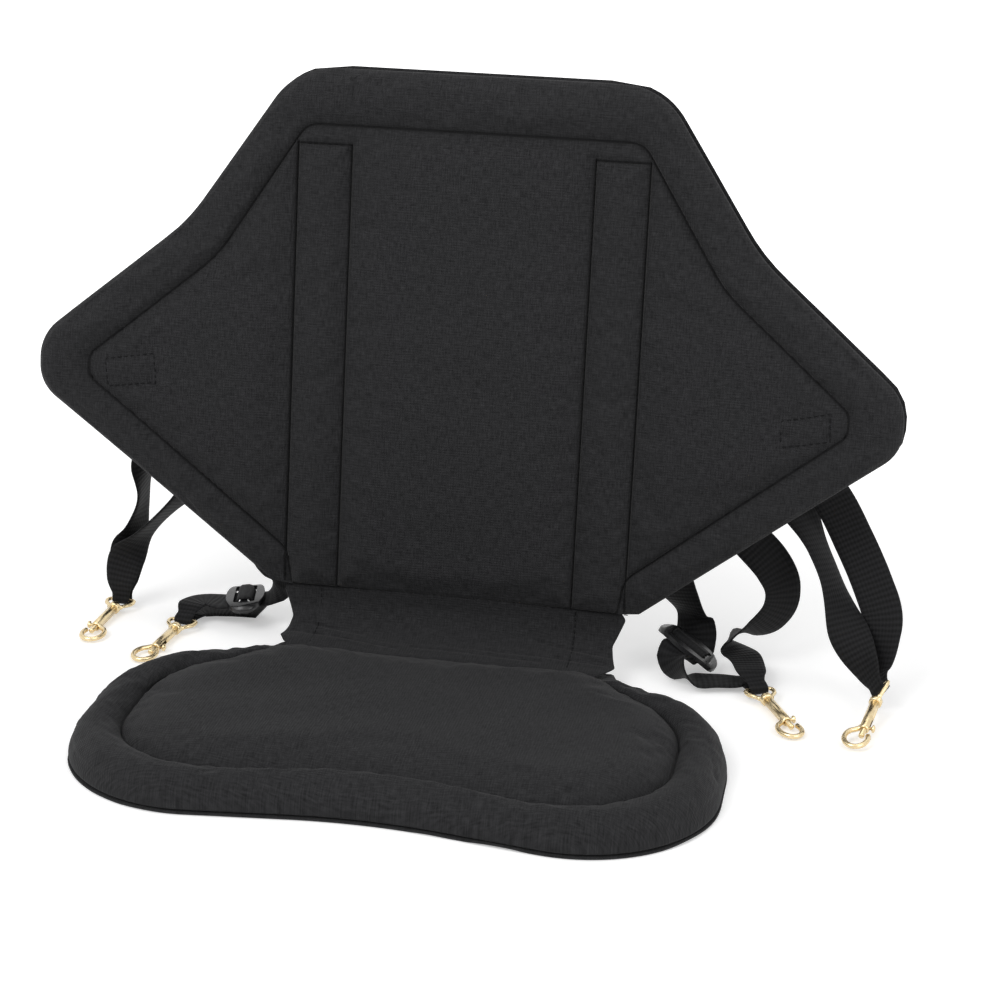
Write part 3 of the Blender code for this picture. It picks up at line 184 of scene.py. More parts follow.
# Four black webbing straps, flat polyester ribbon 25 mm wide and 1.4 mm thick.
# Each is sewn behind the backrest, threads its slider, turns round its snap's eye and comes back.
# Each row of a route holds the ribbon's two edges in millimetres, as the part's source lays it.
webbing_thickness = 0.0014
strap_routes = {
    "upper_left": [
        (-228.0, 144.6, 151.8, -228.0, 147.7, 176.6),
        (-222.6, 145.2, 151.7, -222.6, 148.3, 176.6),
        (-217.3, 145.9, 151.7, -217.3, 148.9, 176.5),
        (-212.0, 146.6, 151.6, -212.0, 149.6, 176.4),
        (-207.3, 147.2, 151.5, -207.4, 150.2, 176.3),
        (-202.8, 147.8, 151.5, -202.8, 151.0, 176.3),
        (-197.9, 149.0, 151.3, -198.1, 152.0, 176.1),
        (-192.5, 150.8, 151.1, -192.8, 153.4, 176.0),
        (-187.0, 153.1, 151.0, -186.7, 155.3, 175.9),
        (-182.3, 155.4, 150.7, -179.9, 157.7, 175.5),
        (-178.8, 157.6, 149.9, -173.2, 160.4, 174.1),
        (-176.1, 159.8, 148.8, -167.6, 163.1, 172.0),
        (-173.6, 162.5, 147.3, -162.3, 165.9, 169.3),
        (-171.9, 164.9, 145.9, -157.3, 168.8, 165.8),
        (-171.4, 166.8, 145.0, -152.6, 171.2, 161.0),
        (-171.4, 168.9, 144.4, -149.0, 172.6, 154.8),
        (-171.4, 171.1, 143.6, -146.9, 173.0, 148.0),
        (-171.3, 172.5, 144.4, -146.7, 173.5, 139.6),
        (-172.5, 173.4, 141.4, -149.6, 173.3, 131.5),
        (-175.3, 173.2, 135.8, -151.7, 173.0, 127.4),
        (-176.5, 172.8, 129.8, -152.0, 172.8, 125.2),
        (-177.2, 172.6, 126.4, -152.6, 172.6, 121.8),
        (-177.5, 171.1, 124.8, -152.9, 171.1, 120.3),
        (-177.5, 169.1, 124.6, -152.9, 169.1, 120.1),
        (-177.7, 167.5, 123.4, -153.1, 167.5, 118.9),
        (-178.3, 167.2, 120.3, -153.7, 167.2, 115.7),
        (-178.9, 167.5, 117.1, -154.3, 167.5, 112.6),
        (-179.1, 169.1, 115.9, -154.5, 169.1, 111.4),
        (-179.1, 171.1, 115.7, -154.5, 171.1, 111.2),
        (-179.4, 172.6, 114.2, -154.8, 172.6, 109.6),
        (-180.0, 172.8, 110.8, -155.5, 172.8, 106.2),
        (-180.4, 173.0, 108.2, -156.6, 173.2, 100.7),
        (-181.2, 171.3, 106.3, -159.2, 175.4, 95.1),
        (-182.6, 168.7, 102.3, -162.8, 178.4, 90.4),
        (-183.7, 166.4, 98.2, -167.3, 180.6, 85.8),
        (-184.9, 164.2, 94.1, -172.4, 181.6, 81.2),
        (-186.6, 161.8, 89.2, -177.9, 182.0, 77.4),
        (-189.0, 159.9, 83.8, -183.0, 182.1, 74.2),
        (-191.7, 158.9, 79.6, -186.9, 182.0, 71.4),
        (-194.8, 158.1, 75.7, -190.9, 181.8, 68.4),
        (-198.1, 157.5, 71.8, -194.8, 181.4, 65.3),
        (-201.5, 157.0, 68.1, -198.5, 181.0, 61.9),
        (-205.1, 156.5, 64.3, -202.1, 180.6, 58.4),
        (-208.8, 156.0, 60.7, -205.6, 180.1, 54.6),
        (-212.6, 155.6, 57.2, -208.8, 179.5, 50.5),
        (-216.5, 155.4, 53.9, -211.5, 178.6, 46.1),
        (-220.9, 155.6, 51.0, -213.1, 177.1, 41.3),
        (-226.0, 156.6, 48.1, -213.7, 174.6, 36.3),
        (-231.0, 158.6, 44.2, -213.9, 171.1, 32.1),
        (-234.7, 160.2, 38.8, -214.3, 167.8, 29.2),
        (-236.9, 161.1, 31.4, -215.7, 164.3, 25.3),
        (-237.5, 161.3, 24.1, -217.3, 161.5, 20.9),
        (-237.0, 161.1, 18.1, -219.0, 160.0, 16.7),
        (-235.4, 161.1, 13.6, -220.8, 160.2, 13.6),
        (-234.0, 161.2, 10.3, -222.0, 160.6, 10.4),
        (-234.0, 161.0, 5.8, -222.0, 160.3, 5.8),
        (-234.0, 161.4, 3.6, -222.0, 160.8, 3.6),
        (-233.9, 163.1, 2.7, -221.9, 162.4, 2.7),
        (-233.8, 164.8, 3.2, -221.8, 164.2, 3.2),
        (-233.7, 165.7, 5.4, -221.8, 165.1, 5.4),
        (-233.7, 166.4, 9.8, -221.7, 165.7, 9.9),
        (-235.1, 167.3, 12.9, -220.4, 166.3, 13.0),
        (-236.6, 168.3, 17.0, -218.6, 167.2, 16.4),
        (-237.3, 168.6, 21.3, -217.5, 168.3, 20.0),
        (-237.7, 168.6, 26.4, -216.4, 169.9, 24.3),
        (-237.6, 168.4, 32.0, -215.4, 171.8, 28.6),
        (-236.9, 167.9, 37.8, -214.7, 174.1, 32.2),
        (-235.1, 166.9, 43.3, -214.5, 177.2, 35.2),
        (-231.9, 165.2, 48.1, -215.2, 181.0, 38.9),
        (-228.2, 164.0, 51.6, -216.3, 184.4, 43.7),
        (-225.2, 163.6, 54.8, -216.8, 186.4, 49.2),
        (-222.6, 163.5, 58.8, -217.0, 187.7, 55.0),
        (-220.3, 163.6, 63.0, -217.0, 188.4, 60.8),
        (-218.3, 163.7, 67.1, -216.7, 188.7, 66.9),
        (-216.7, 163.5, 71.1, -216.3, 188.5, 72.9),
        (-215.7, 163.1, 75.1, -215.7, 187.8, 78.6),
        (-215.3, 162.4, 79.2, -214.6, 186.9, 84.2),
        (-215.6, 161.4, 83.4, -212.7, 185.5, 89.6),
        (-216.3, 160.5, 87.5, -209.7, 183.5, 94.5),
        (-217.3, 159.5, 92.0, -205.6, 180.5, 98.7),
        (-217.9, 158.2, 97.7, -201.4, 176.7, 101.2),
        (-216.8, 156.6, 104.2, -198.2, 173.3, 102.5),
        (-213.9, 155.2, 110.9, -196.1, 170.8, 103.1),
        (-209.6, 155.8, 118.3, -192.8, 167.3, 103.8),
        (-204.4, 158.2, 124.2, -189.1, 163.1, 105.1),
        (-198.8, 159.9, 128.5, -185.2, 160.1, 107.5),
        (-193.7, 160.2, 131.5, -181.9, 159.1, 109.4),
        (-188.6, 160.1, 134.0, -177.9, 159.0, 111.4),
        (-183.9, 159.8, 136.1, -173.3, 159.4, 113.5),
        (-179.4, 159.5, 138.3, -168.6, 159.5, 115.7),
    ],
    "upper_right": [
        (228.0, 144.6, 151.8, 228.0, 147.7, 176.6),
        (222.6, 145.2, 151.7, 222.6, 148.3, 176.6),
        (217.3, 145.9, 151.7, 217.3, 148.9, 176.5),
        (212.1, 146.5, 151.6, 211.9, 149.6, 176.4),
        (207.5, 147.2, 151.5, 207.2, 150.3, 176.3),
        (202.7, 148.0, 151.3, 202.9, 150.9, 176.1),
        (197.2, 149.2, 151.3, 198.8, 151.8, 176.1),
        (191.4, 150.9, 151.7, 194.2, 153.0, 176.4),
        (185.8, 152.8, 152.3, 188.7, 154.4, 177.0),
        (180.9, 154.6, 152.7, 182.6, 156.7, 177.5),
        (176.9, 155.8, 152.7, 177.1, 160.2, 177.3),
        (171.8, 156.4, 152.6, 172.9, 165.7, 175.8),
        (165.8, 157.6, 152.7, 170.8, 171.4, 172.9),
        (160.6, 161.5, 151.7, 171.4, 174.5, 170.3),
        (158.8, 169.2, 148.8, 174.3, 177.2, 166.8),
        (161.2, 175.4, 144.8, 177.8, 178.6, 163.2),
        (166.2, 174.4, 140.9, 181.3, 179.1, 160.4),
        (171.5, 172.6, 137.5, 186.8, 176.7, 156.8),
        (173.8, 172.6, 135.7, 192.5, 173.6, 152.2),
        (174.3, 172.8, 134.1, 196.0, 172.8, 146.6),
        (176.1, 172.6, 131.2, 197.7, 172.6, 143.6),
        (176.9, 171.1, 129.8, 198.5, 171.1, 142.2),
        (177.0, 169.1, 129.6, 198.6, 169.1, 142.1),
        (177.6, 167.5, 128.6, 199.2, 167.5, 141.0),
        (179.2, 167.2, 125.8, 200.8, 167.2, 138.2),
        (180.8, 167.5, 123.0, 202.4, 167.5, 135.4),
        (181.4, 169.1, 121.9, 203.0, 169.1, 134.4),
        (181.5, 171.1, 121.8, 203.1, 171.1, 134.2),
        (182.3, 172.6, 120.4, 203.9, 172.6, 132.8),
        (184.0, 172.8, 117.4, 205.7, 172.8, 129.9),
        (186.2, 173.1, 113.6, 207.6, 173.1, 126.5),
        (188.9, 170.7, 109.6, 209.9, 174.8, 122.5),
        (192.7, 166.7, 105.6, 212.7, 177.0, 116.5),
        (196.7, 163.0, 102.3, 215.3, 178.0, 109.7),
        (199.8, 160.3, 99.9, 217.7, 177.3, 104.1),
        (203.2, 157.3, 97.5, 219.8, 176.0, 98.6),
        (206.9, 154.3, 94.8, 221.7, 174.3, 93.3),
        (210.4, 151.5, 91.6, 223.6, 172.5, 88.4),
        (213.5, 149.1, 88.2, 225.8, 170.4, 83.9),
        (216.2, 146.7, 84.5, 228.1, 168.1, 79.7),
        (218.8, 144.3, 80.5, 230.5, 165.9, 75.7),
        (221.3, 142.1, 76.2, 232.7, 163.9, 71.8),
        (223.5, 140.2, 71.7, 234.8, 162.2, 68.0),
        (225.1, 138.6, 67.1, 237.1, 160.3, 64.1),
        (226.3, 137.3, 62.5, 239.7, 158.3, 60.1),
        (227.3, 136.2, 57.7, 242.7, 155.8, 56.3),
        (228.2, 135.0, 52.6, 246.0, 152.8, 52.4),
        (229.1, 134.1, 46.9, 249.4, 149.3, 49.1),
        (230.5, 133.6, 40.7, 252.5, 145.2, 46.2),
        (233.0, 133.1, 34.5, 255.0, 140.9, 43.5),
        (236.3, 132.7, 29.1, 257.0, 136.9, 40.7),
        (240.3, 132.4, 23.9, 259.0, 132.4, 37.3),
        (244.8, 131.8, 19.3, 260.6, 128.1, 33.6),
        (249.2, 130.5, 15.7, 261.9, 124.7, 29.9),
        (253.0, 128.2, 13.0, 262.5, 122.6, 27.2),
        (256.3, 124.4, 11.9, 263.0, 120.9, 24.4),
        (258.3, 121.4, 11.7, 263.8, 118.8, 22.0),
        (260.1, 117.9, 9.7, 265.7, 115.1, 20.0),
        (261.4, 116.4, 8.6, 267.0, 113.6, 18.8),
        (263.1, 116.7, 7.8, 268.7, 113.9, 18.0),
        (264.2, 118.2, 7.6, 269.8, 115.3, 17.8),
        (263.9, 120.3, 8.3, 269.5, 117.5, 18.5),
        (262.5, 123.9, 10.1, 268.0, 121.6, 20.5),
        (261.0, 127.6, 10.0, 267.7, 124.1, 22.6),
        (258.7, 133.3, 11.7, 268.3, 124.8, 24.3),
        (256.8, 137.6, 16.5, 269.6, 125.4, 25.5),
        (255.1, 140.1, 21.6, 271.1, 127.6, 28.6),
        (253.8, 141.9, 26.6, 272.4, 130.4, 32.8),
        (252.7, 143.6, 30.9, 273.3, 133.4, 37.1),
        (252.0, 145.5, 35.1, 273.9, 136.4, 40.9),
        (251.4, 147.0, 39.4, 274.5, 139.7, 44.5),
        (250.8, 148.2, 43.2, 274.6, 143.4, 48.7),
        (250.1, 149.1, 46.4, 273.9, 146.9, 53.6),
        (248.9, 150.3, 49.9, 272.3, 150.0, 58.9),
        (247.2, 151.8, 53.6, 270.1, 152.5, 64.0),
        (245.1, 153.5, 57.9, 267.6, 154.7, 68.8),
        (242.8, 155.3, 62.5, 265.2, 156.7, 73.5),
        (240.6, 157.0, 66.7, 262.8, 158.6, 78.1),
        (238.2, 158.8, 71.1, 260.1, 160.4, 82.9),
        (235.6, 160.6, 75.5, 257.4, 162.1, 87.7),
        (232.9, 162.3, 80.1, 254.6, 163.4, 92.5),
        (230.1, 163.7, 84.8, 251.9, 164.3, 97.2),
        (227.4, 164.6, 89.7, 249.2, 164.9, 101.9),
        (224.7, 165.1, 94.6, 246.5, 165.3, 106.8),
        (222.0, 165.4, 99.4, 243.6, 165.4, 111.9),
        (219.3, 165.3, 103.9, 240.6, 165.2, 117.0),
        (216.6, 165.1, 108.1, 237.4, 164.9, 121.9),
        (214.0, 164.6, 111.9, 234.3, 164.1, 126.4),
        (211.2, 163.7, 115.6, 231.2, 163.1, 130.6),
        (208.4, 162.6, 119.1, 227.9, 162.0, 134.8),
        (205.7, 161.5, 122.4, 224.5, 161.0, 138.8),
        (203.1, 160.7, 125.3, 220.9, 160.3, 142.7),
        (200.2, 160.2, 128.0, 216.9, 159.9, 146.6),
        (197.1, 159.9, 130.6, 213.0, 159.7, 149.9),
        (193.6, 159.8, 133.4, 209.4, 159.6, 152.8),
        (190.0, 159.5, 136.4, 206.0, 159.5, 155.6),
    ],
    "lower_left": [
        (-136.5, 148.6, 116.5, -111.5, 150.2, 116.4),
        (-136.5, 148.0, 111.0, -111.5, 149.5, 110.9),
        (-136.4, 147.3, 105.5, -111.5, 148.8, 105.4),
        (-136.4, 146.6, 100.1, -111.5, 148.1, 99.8),
        (-136.5, 146.1, 94.9, -111.5, 147.6, 94.4),
        (-136.5, 145.5, 90.4, -111.6, 147.0, 89.7),
        (-136.6, 144.8, 86.0, -111.7, 146.3, 85.2),
        (-136.7, 144.3, 81.7, -111.8, 145.9, 80.7),
        (-137.0, 144.5, 77.3, -112.0, 146.2, 76.0),
        (-137.3, 145.5, 73.1, -112.4, 147.4, 71.3),
        (-137.8, 147.0, 68.5, -112.9, 149.2, 66.6),
        (-138.3, 149.2, 63.7, -113.4, 151.1, 62.1),
        (-138.8, 151.5, 58.9, -113.8, 152.9, 57.7),
        (-139.0, 153.9, 54.2, -114.0, 154.1, 53.8),
        (-138.9, 157.1, 48.4, -114.0, 155.1, 48.4),
        (-138.4, 160.5, 42.9, -113.9, 155.8, 43.4),
        (-137.2, 164.2, 36.9, -113.8, 155.8, 39.1),
        (-134.6, 167.9, 31.3, -113.1, 155.7, 34.8),
        (-132.0, 170.9, 27.8, -111.8, 156.3, 28.8),
        (-129.7, 173.5, 27.0, -113.3, 155.5, 21.0),
        (-129.0, 175.7, 20.6, -120.6, 152.3, 17.5),
        (-132.0, 175.0, 15.7, -126.5, 150.6, 15.9),
        (-135.8, 174.2, 15.6, -130.8, 149.8, 15.6),
        (-139.2, 173.5, 15.6, -134.2, 149.1, 15.6),
        (-140.9, 173.2, 16.9, -135.9, 148.7, 16.9),
        (-141.3, 173.1, 18.9, -136.3, 148.6, 18.9),
        (-142.6, 172.8, 20.3, -137.6, 148.4, 20.3),
        (-145.8, 172.2, 20.2, -140.7, 147.7, 20.2),
        (-148.9, 171.5, 19.6, -143.9, 147.1, 19.6),
        (-149.9, 171.3, 18.0, -144.9, 146.9, 18.0),
        (-149.9, 171.3, 16.0, -144.9, 146.9, 16.0),
        (-151.3, 171.0, 14.3, -146.3, 146.6, 14.3),
        (-154.7, 170.4, 13.7, -149.6, 145.9, 13.7),
        (-155.7, 169.8, 13.4, -156.5, 144.8, 12.7),
        (-158.1, 169.1, 13.1, -163.1, 147.7, 12.4),
        (-164.8, 168.8, 12.8, -166.2, 150.2, 12.2),
        (-172.0, 167.8, 12.5, -167.6, 150.4, 12.0),
        (-179.5, 164.2, 12.1, -167.5, 150.8, 11.9),
        (-184.0, 157.5, 12.0, -167.1, 150.5, 12.0),
        (-185.5, 151.8, 11.9, -167.9, 148.0, 11.5),
        (-184.6, 147.3, 10.5, -169.7, 145.8, 10.3),
        (-183.3, 144.0, 8.9, -171.4, 142.9, 9.0),
        (-183.8, 139.8, 7.6, -171.9, 138.5, 7.6),
        (-184.0, 137.9, 6.3, -172.1, 136.5, 6.3),
        (-184.0, 137.7, 4.5, -172.1, 136.3, 4.5),
        (-183.9, 138.8, 3.0, -172.0, 137.4, 3.0),
        (-183.7, 141.1, 2.9, -171.7, 139.7, 2.9),
        (-183.2, 145.3, 3.9, -171.3, 144.2, 3.9),
        (-184.4, 149.0, 4.5, -169.6, 147.4, 4.4),
        (-185.2, 153.7, 4.8, -167.7, 149.8, 4.8),
        (-183.9, 159.0, 4.3, -166.9, 151.6, 4.5),
        (-180.2, 165.1, 3.9, -166.8, 151.9, 4.1),
        (-173.9, 170.3, 4.2, -164.7, 152.7, 4.0),
        (-166.8, 173.7, 4.7, -161.2, 153.3, 4.3),
        (-160.5, 175.4, 5.3, -158.8, 152.9, 4.6),
        (-154.8, 176.1, 5.8, -155.0, 152.2, 5.2),
        (-149.6, 176.5, 6.1, -150.4, 151.5, 5.9),
        (-143.8, 176.4, 6.5, -145.1, 151.1, 6.3),
        (-137.9, 175.9, 6.8, -139.6, 150.8, 6.6),
        (-132.1, 175.5, 7.1, -133.9, 150.5, 6.9),
    ],
    "lower_right": [
        (111.6, 150.4, 118.5, 136.4, 149.1, 120.4),
        (111.9, 149.8, 113.5, 136.8, 148.5, 115.4),
        (112.3, 149.1, 108.5, 137.2, 147.8, 110.4),
        (112.6, 148.5, 103.4, 137.5, 147.2, 105.5),
        (113.1, 148.0, 98.4, 137.9, 146.7, 100.8),
        (113.6, 147.1, 92.6, 138.4, 145.9, 95.3),
        (114.3, 146.5, 86.8, 139.0, 145.0, 90.1),
        (115.2, 146.9, 80.7, 139.8, 144.9, 84.6),
        (116.2, 148.5, 75.7, 140.7, 145.7, 80.1),
        (117.4, 150.6, 70.5, 141.8, 147.4, 75.0),
        (118.8, 153.0, 65.3, 143.1, 149.5, 69.9),
        (120.1, 155.7, 60.3, 144.4, 151.8, 64.9),
        (121.4, 158.2, 55.8, 145.6, 153.8, 60.2),
        (122.6, 160.8, 51.7, 146.8, 155.6, 55.7),
        (123.9, 163.7, 48.0, 147.8, 157.3, 51.6),
        (125.3, 166.5, 44.1, 148.9, 159.0, 47.8),
        (127.0, 169.6, 40.2, 150.0, 160.4, 43.8),
        (129.4, 173.6, 36.2, 151.5, 162.1, 38.7),
        (132.2, 177.7, 31.7, 153.2, 164.4, 33.8),
        (134.6, 180.3, 26.1, 155.1, 166.6, 30.3),
        (135.1, 176.7, 19.7, 157.9, 171.3, 28.3),
        (135.4, 170.0, 17.7, 160.1, 172.9, 20.8),
        (136.3, 164.8, 16.0, 160.8, 169.1, 13.8),
        (137.3, 163.4, 17.7, 160.0, 162.5, 7.3),
        (137.2, 163.4, 19.1, 157.9, 154.8, 7.8),
        (136.3, 160.1, 19.9, 156.9, 151.6, 8.6),
        (136.5, 158.6, 21.4, 157.2, 150.0, 10.2),
        (137.5, 158.4, 23.2, 158.1, 149.9, 12.0),
        (137.8, 157.3, 24.8, 158.5, 148.8, 13.5),
        (137.0, 154.3, 25.5, 157.6, 145.7, 14.3),
        (135.9, 151.2, 25.8, 156.5, 142.7, 14.6),
        (134.8, 150.1, 24.7, 155.4, 141.6, 13.4),
        (133.8, 149.9, 22.9, 154.4, 141.4, 11.7),
        (132.6, 148.4, 21.9, 153.2, 139.9, 10.6),
        (131.4, 145.2, 22.2, 152.1, 136.6, 11.0),
        (129.7, 140.3, 22.6, 151.1, 133.8, 11.5),
        (127.4, 136.3, 14.2, 150.6, 129.5, 17.8),
        (130.8, 133.8, 6.3, 146.2, 124.2, 21.7),
        (134.3, 132.9, 3.1, 145.9, 120.6, 18.9),
        (139.2, 133.3, 0.8, 146.8, 117.7, 15.2),
        (145.3, 135.6, 2.1, 149.9, 115.6, 9.6),
        (151.0, 136.9, 4.4, 155.0, 116.1, 4.6),
        (154.9, 137.5, 4.4, 159.5, 117.2, 3.8),
        (159.2, 138.4, 4.2, 164.0, 118.5, 4.1),
        (163.9, 139.3, 4.2, 168.1, 119.7, 4.2),
        (168.3, 139.8, 4.2, 171.9, 120.8, 4.0),
        (172.8, 140.2, 4.0, 175.6, 121.9, 3.9),
        (177.0, 140.4, 3.8, 179.0, 122.6, 4.2),
        (182.6, 141.1, 3.7, 182.1, 122.8, 5.1),
        (190.6, 139.0, 4.7, 181.2, 123.7, 4.7),
        (194.5, 132.1, 4.4, 181.3, 125.0, 4.4),
        (194.7, 127.7, 3.8, 183.8, 122.6, 3.9),
        (196.6, 124.1, 2.9, 186.0, 118.5, 2.9),
        (197.7, 122.1, 3.0, 187.1, 116.4, 3.0),
        (198.2, 121.1, 4.5, 187.6, 115.5, 4.5),
        (198.1, 121.3, 6.3, 187.5, 115.6, 6.3),
        (197.2, 123.0, 7.6, 186.6, 117.4, 7.6),
        (195.1, 126.9, 8.9, 184.6, 121.1, 8.9),
        (194.9, 130.1, 10.4, 181.8, 123.2, 10.3),
        (195.3, 132.7, 11.4, 178.3, 126.8, 11.9),
        (194.8, 137.5, 12.0, 176.0, 132.8, 12.1),
        (193.6, 143.6, 11.9, 174.4, 138.4, 12.1),
        (192.2, 150.3, 12.0, 172.3, 143.0, 12.5),
        (190.0, 157.2, 12.4, 170.0, 146.8, 12.6),
        (186.5, 164.0, 12.1, 167.2, 150.0, 12.8),
        (181.7, 170.3, 11.3, 165.3, 151.7, 14.7),
        (175.6, 174.1, 11.8, 165.8, 151.7, 17.6),
        (169.5, 175.9, 13.3, 168.5, 152.1, 20.7),
        (169.7, 176.9, 18.6, 170.4, 152.0, 20.5),
        (173.0, 176.9, 20.7, 172.0, 152.1, 23.3),
        (178.2, 176.3, 19.5, 175.6, 152.8, 27.6),
        (184.6, 174.8, 18.4, 179.4, 154.2, 31.6),
        (190.0, 173.7, 19.6, 181.3, 155.3, 34.2),
        (194.9, 172.7, 21.7, 183.7, 156.3, 36.8),
        (199.4, 172.1, 24.8, 185.6, 156.9, 39.2),
        (203.3, 171.9, 29.0, 187.4, 157.4, 41.6),
        (206.7, 171.9, 33.9, 188.9, 157.7, 44.2),
        (209.3, 171.9, 39.6, 189.7, 158.1, 46.4),
        (210.7, 172.1, 45.7, 190.1, 158.2, 48.7),
        (210.9, 172.3, 51.8, 190.2, 158.3, 51.5),
        (210.3, 172.3, 58.1, 189.7, 158.7, 53.9),
        (208.3, 172.2, 64.6, 188.5, 159.4, 56.3),
        (205.5, 171.9, 70.4, 186.3, 160.5, 59.2),
        (202.3, 171.5, 75.6, 183.7, 161.5, 62.4),
        (199.1, 171.1, 80.0, 181.4, 162.3, 64.7),
        (195.7, 170.5, 84.0, 178.6, 163.1, 67.3),
        (192.3, 170.0, 87.5, 175.4, 163.9, 70.1),
        (188.9, 169.5, 90.9, 172.1, 164.5, 73.1),
        (185.3, 169.1, 94.4, 168.7, 164.9, 76.2),
        (181.5, 168.8, 97.8, 165.2, 165.2, 79.3),
        (177.9, 168.6, 101.1, 161.5, 165.5, 82.4),
        (174.2, 168.3, 104.3, 157.8, 165.7, 85.7),
    ],
}


def run_along(line):
    """How far along a line of straight pieces each of its points lies."""
    return np.concatenate([[0.0], np.cumsum(np.linalg.norm(np.diff(line, axis=0), axis=1))])


def edge_curve(route, step=0.0022):
    """Both edges along a strap: a smooth curve (Catmull-Rom by chord length) through the route's rows."""
    rows = np.array(route, float) / 1000.0
    run = run_along((rows[:, :3] + rows[:, 3:]) / 2)
    fine = np.linspace(0.0, run[-1], int(run[-1] / step) + 1)
    slope = np.gradient(rows, run, axis=0)
    cell = np.clip(np.searchsorted(run, fine, side="right") - 1, 0, len(run) - 2)
    width = (run[cell + 1] - run[cell])[:, None]
    t = ((fine - run[cell]) / width[:, 0])[:, None]
    p, q, m, n = rows[cell], rows[cell + 1], slope[cell] * width, slope[cell + 1] * width
    curve = (
        (2 * t**3 - 3 * t**2 + 1) * p + (t**3 - 2 * t**2 + t) * m
        + (3 * t**2 - 2 * t**3) * q + (t**3 - t**2) * n
    )
    return curve[:, :3], curve[:, 3:], fine


def grid_faces(index, closed=False):
    """Four-cornered faces between the rows and columns of a grid of point numbers, closed round if asked."""
    right = np.roll(index, -1, axis=1)
    span = index.shape[1] - (not closed)
    corners = [index[:-1, :span], right[:-1, :span], right[1:, :span], index[1:, :span]]
    return np.stack(corners, -1).reshape(-1, 4)


def lay_flat_map(mesh, flat):
    """Gives a mesh its flat pattern in metres as a UV map, from one flat place for each point."""
    corners = np.empty(len(mesh.loops), np.int64)
    mesh.loops.foreach_get("vertex_index", corners)
    mesh.uv_layers.new(name="metres").data.foreach_set("uv", flat.reshape(-1, 2)[corners].ravel())


def smooth_object(name, mesh):
    """A smooth-shaded object in the scene."""
    mesh.polygons.foreach_set("use_smooth", np.ones(len(mesh.polygons), bool))
    made = bpy.data.objects.new(name, mesh)
    bpy.context.scene.collection.objects.link(made)
    return made


def grid_mesh(name, places, flat, close_u=False, cap_ends=False):
    """An object from a grid of places (rows, columns, 3), closed round its columns and capped if asked."""
    index = np.arange(places.shape[0] * places.shape[1]).reshape(places.shape[:2])
    faces = grid_faces(index, close_u).tolist()
    if cap_ends:
        faces += [index[0, ::-1].tolist(), index[-1].tolist()]
    mesh = bpy.data.meshes.new(name)
    mesh.from_pydata(places.reshape(-1, 3).tolist(), [], faces)
    lay_flat_map(mesh, flat)
    return smooth_object(name, mesh)


def turn_faces_out(obj):
    """Points the faces of a closed shell outwards."""
    shell = bmesh.new()
    shell.from_mesh(obj.data)
    bmesh.ops.remove_doubles(shell, verts=shell.verts, dist=1e-6)
    bmesh.ops.recalc_face_normals(shell, faces=shell.faces)
    shell.to_mesh(obj.data)
    shell.free()
    return obj


def ribbon(name, left, right, along, thickness):
    """A webbing ribbon: a flat section with rounded edges carried along the two edge lines."""
    middle = (left + right) / 2
    across = right - left
    width = np.linalg.norm(across, axis=1)[:, None]
    across = across / width
    ahead = np.gradient(middle, axis=0)
    face = np.cross(ahead, across)
    face = face / np.linalg.norm(face, axis=1)[:, None]
    turn = np.array([
        -1, -0.985, -0.93, -0.6, -0.2, 0.2, 0.6, 0.93, 0.985, 1,
        0.985, 0.93, 0.6, 0.2, -0.2, -0.6, -0.93, -0.985,
    ])
    side = np.array([0, 0.5, 1, 1, 1, 1, 1, 1, 0.5, 0, -0.5, -1, -1, -1, -1, -1, -1, -0.5])
    reach = turn[None, :, None] * (width / 2)[:, None]
    rise = side[None, :, None] * thickness / 2
    places = middle[:, None] + across[:, None] * reach + face[:, None] * rise
    flat = np.empty(places.shape[:2] + (2,))
    flat[..., 0] = turn[None] * (width / 2)
    flat[..., 1] = along[:, None]
    return turn_faces_out(grid_mesh(name, places, flat, close_u=True, cap_ends=True)), middle


def tones_between(tree, share, dark, light, ends=(0.0, 1.0)):
    """A colour that goes from dark to light as the share rises from the first end to the second."""
    ramp = add_node(tree, "ValToRGB", {"Fac": share})
    for stop, tone, place in zip(ramp.color_ramp.elements, (dark, light), ends):
        stop.color = (*tone, 1.0)
        stop.position = place
    return ramp.outputs["Color"]


def raised_grain(tree, height, strength, depth, over=None):
    """A bump with its depth in metres, laid over another bump's normal if one is given."""
    inputs = {"Height": height, "Strength": strength, "Distance": depth}
    if over is not None:
        inputs["Normal"] = over
    return add_node(tree, "Bump", inputs).outputs["Normal"]


def thread_wave(tree, place, way, pitch, uneven, **more):
    """Even lines across one way of the flat map, one to each pitch in metres: scale = pi / (10 pitch)."""
    inputs = {"Vector": place, "Scale": math.pi / 10 / pitch, "Distortion": uneven, **more}
    return add_node(tree, "TexWave", inputs, bands_direction=way).outputs["Fac"]


def webbing_finish():
    """Ribbed black polyester webbing: a rib across it every 3.4 mm and a finer yarn along it, its colour
    following their height as painted shade in the grooves and a painted highlight on the tops.
    """
    made, tree, shader = new_material("webbing_black", {
        "Base Color": (0.007, 0.007, 0.008, 1.0),
        "Roughness": 0.65,
        "Sheen Weight": 0.02,
        "Sheen Roughness": 0.5,
        "Specular IOR Level": 0.14,
    })
    place = add_node(tree, "UVMap", {}, uv_map="metres").outputs["UV"]
    ribs = thread_wave(tree, place, "Y", 0.0033557, 0.6, **{"Detail": 1.0, "Detail Scale": 1.5})
    yarn = thread_wave(tree, place, "X", 0.0021713, 0.8)
    both = add_node(tree, "Mix", {"Factor": 0.3, "A": ribs, "B": yarn}, data_type="FLOAT").outputs["Result"]
    # Painted shade and highlight: the colour is darkest in the grooves and lightest on the raised ribs and
    # yarns, following the bump's height
    feed(tree, shader, {
        "Base Color": tones_between(tree, both, (0.0022, 0.0022, 0.0025), (0.0125, 0.0125, 0.0135)),
        "Normal": raised_grain(tree, both, 0.7, 0.0004),
    })
    return made


webbing_black = webbing_finish()
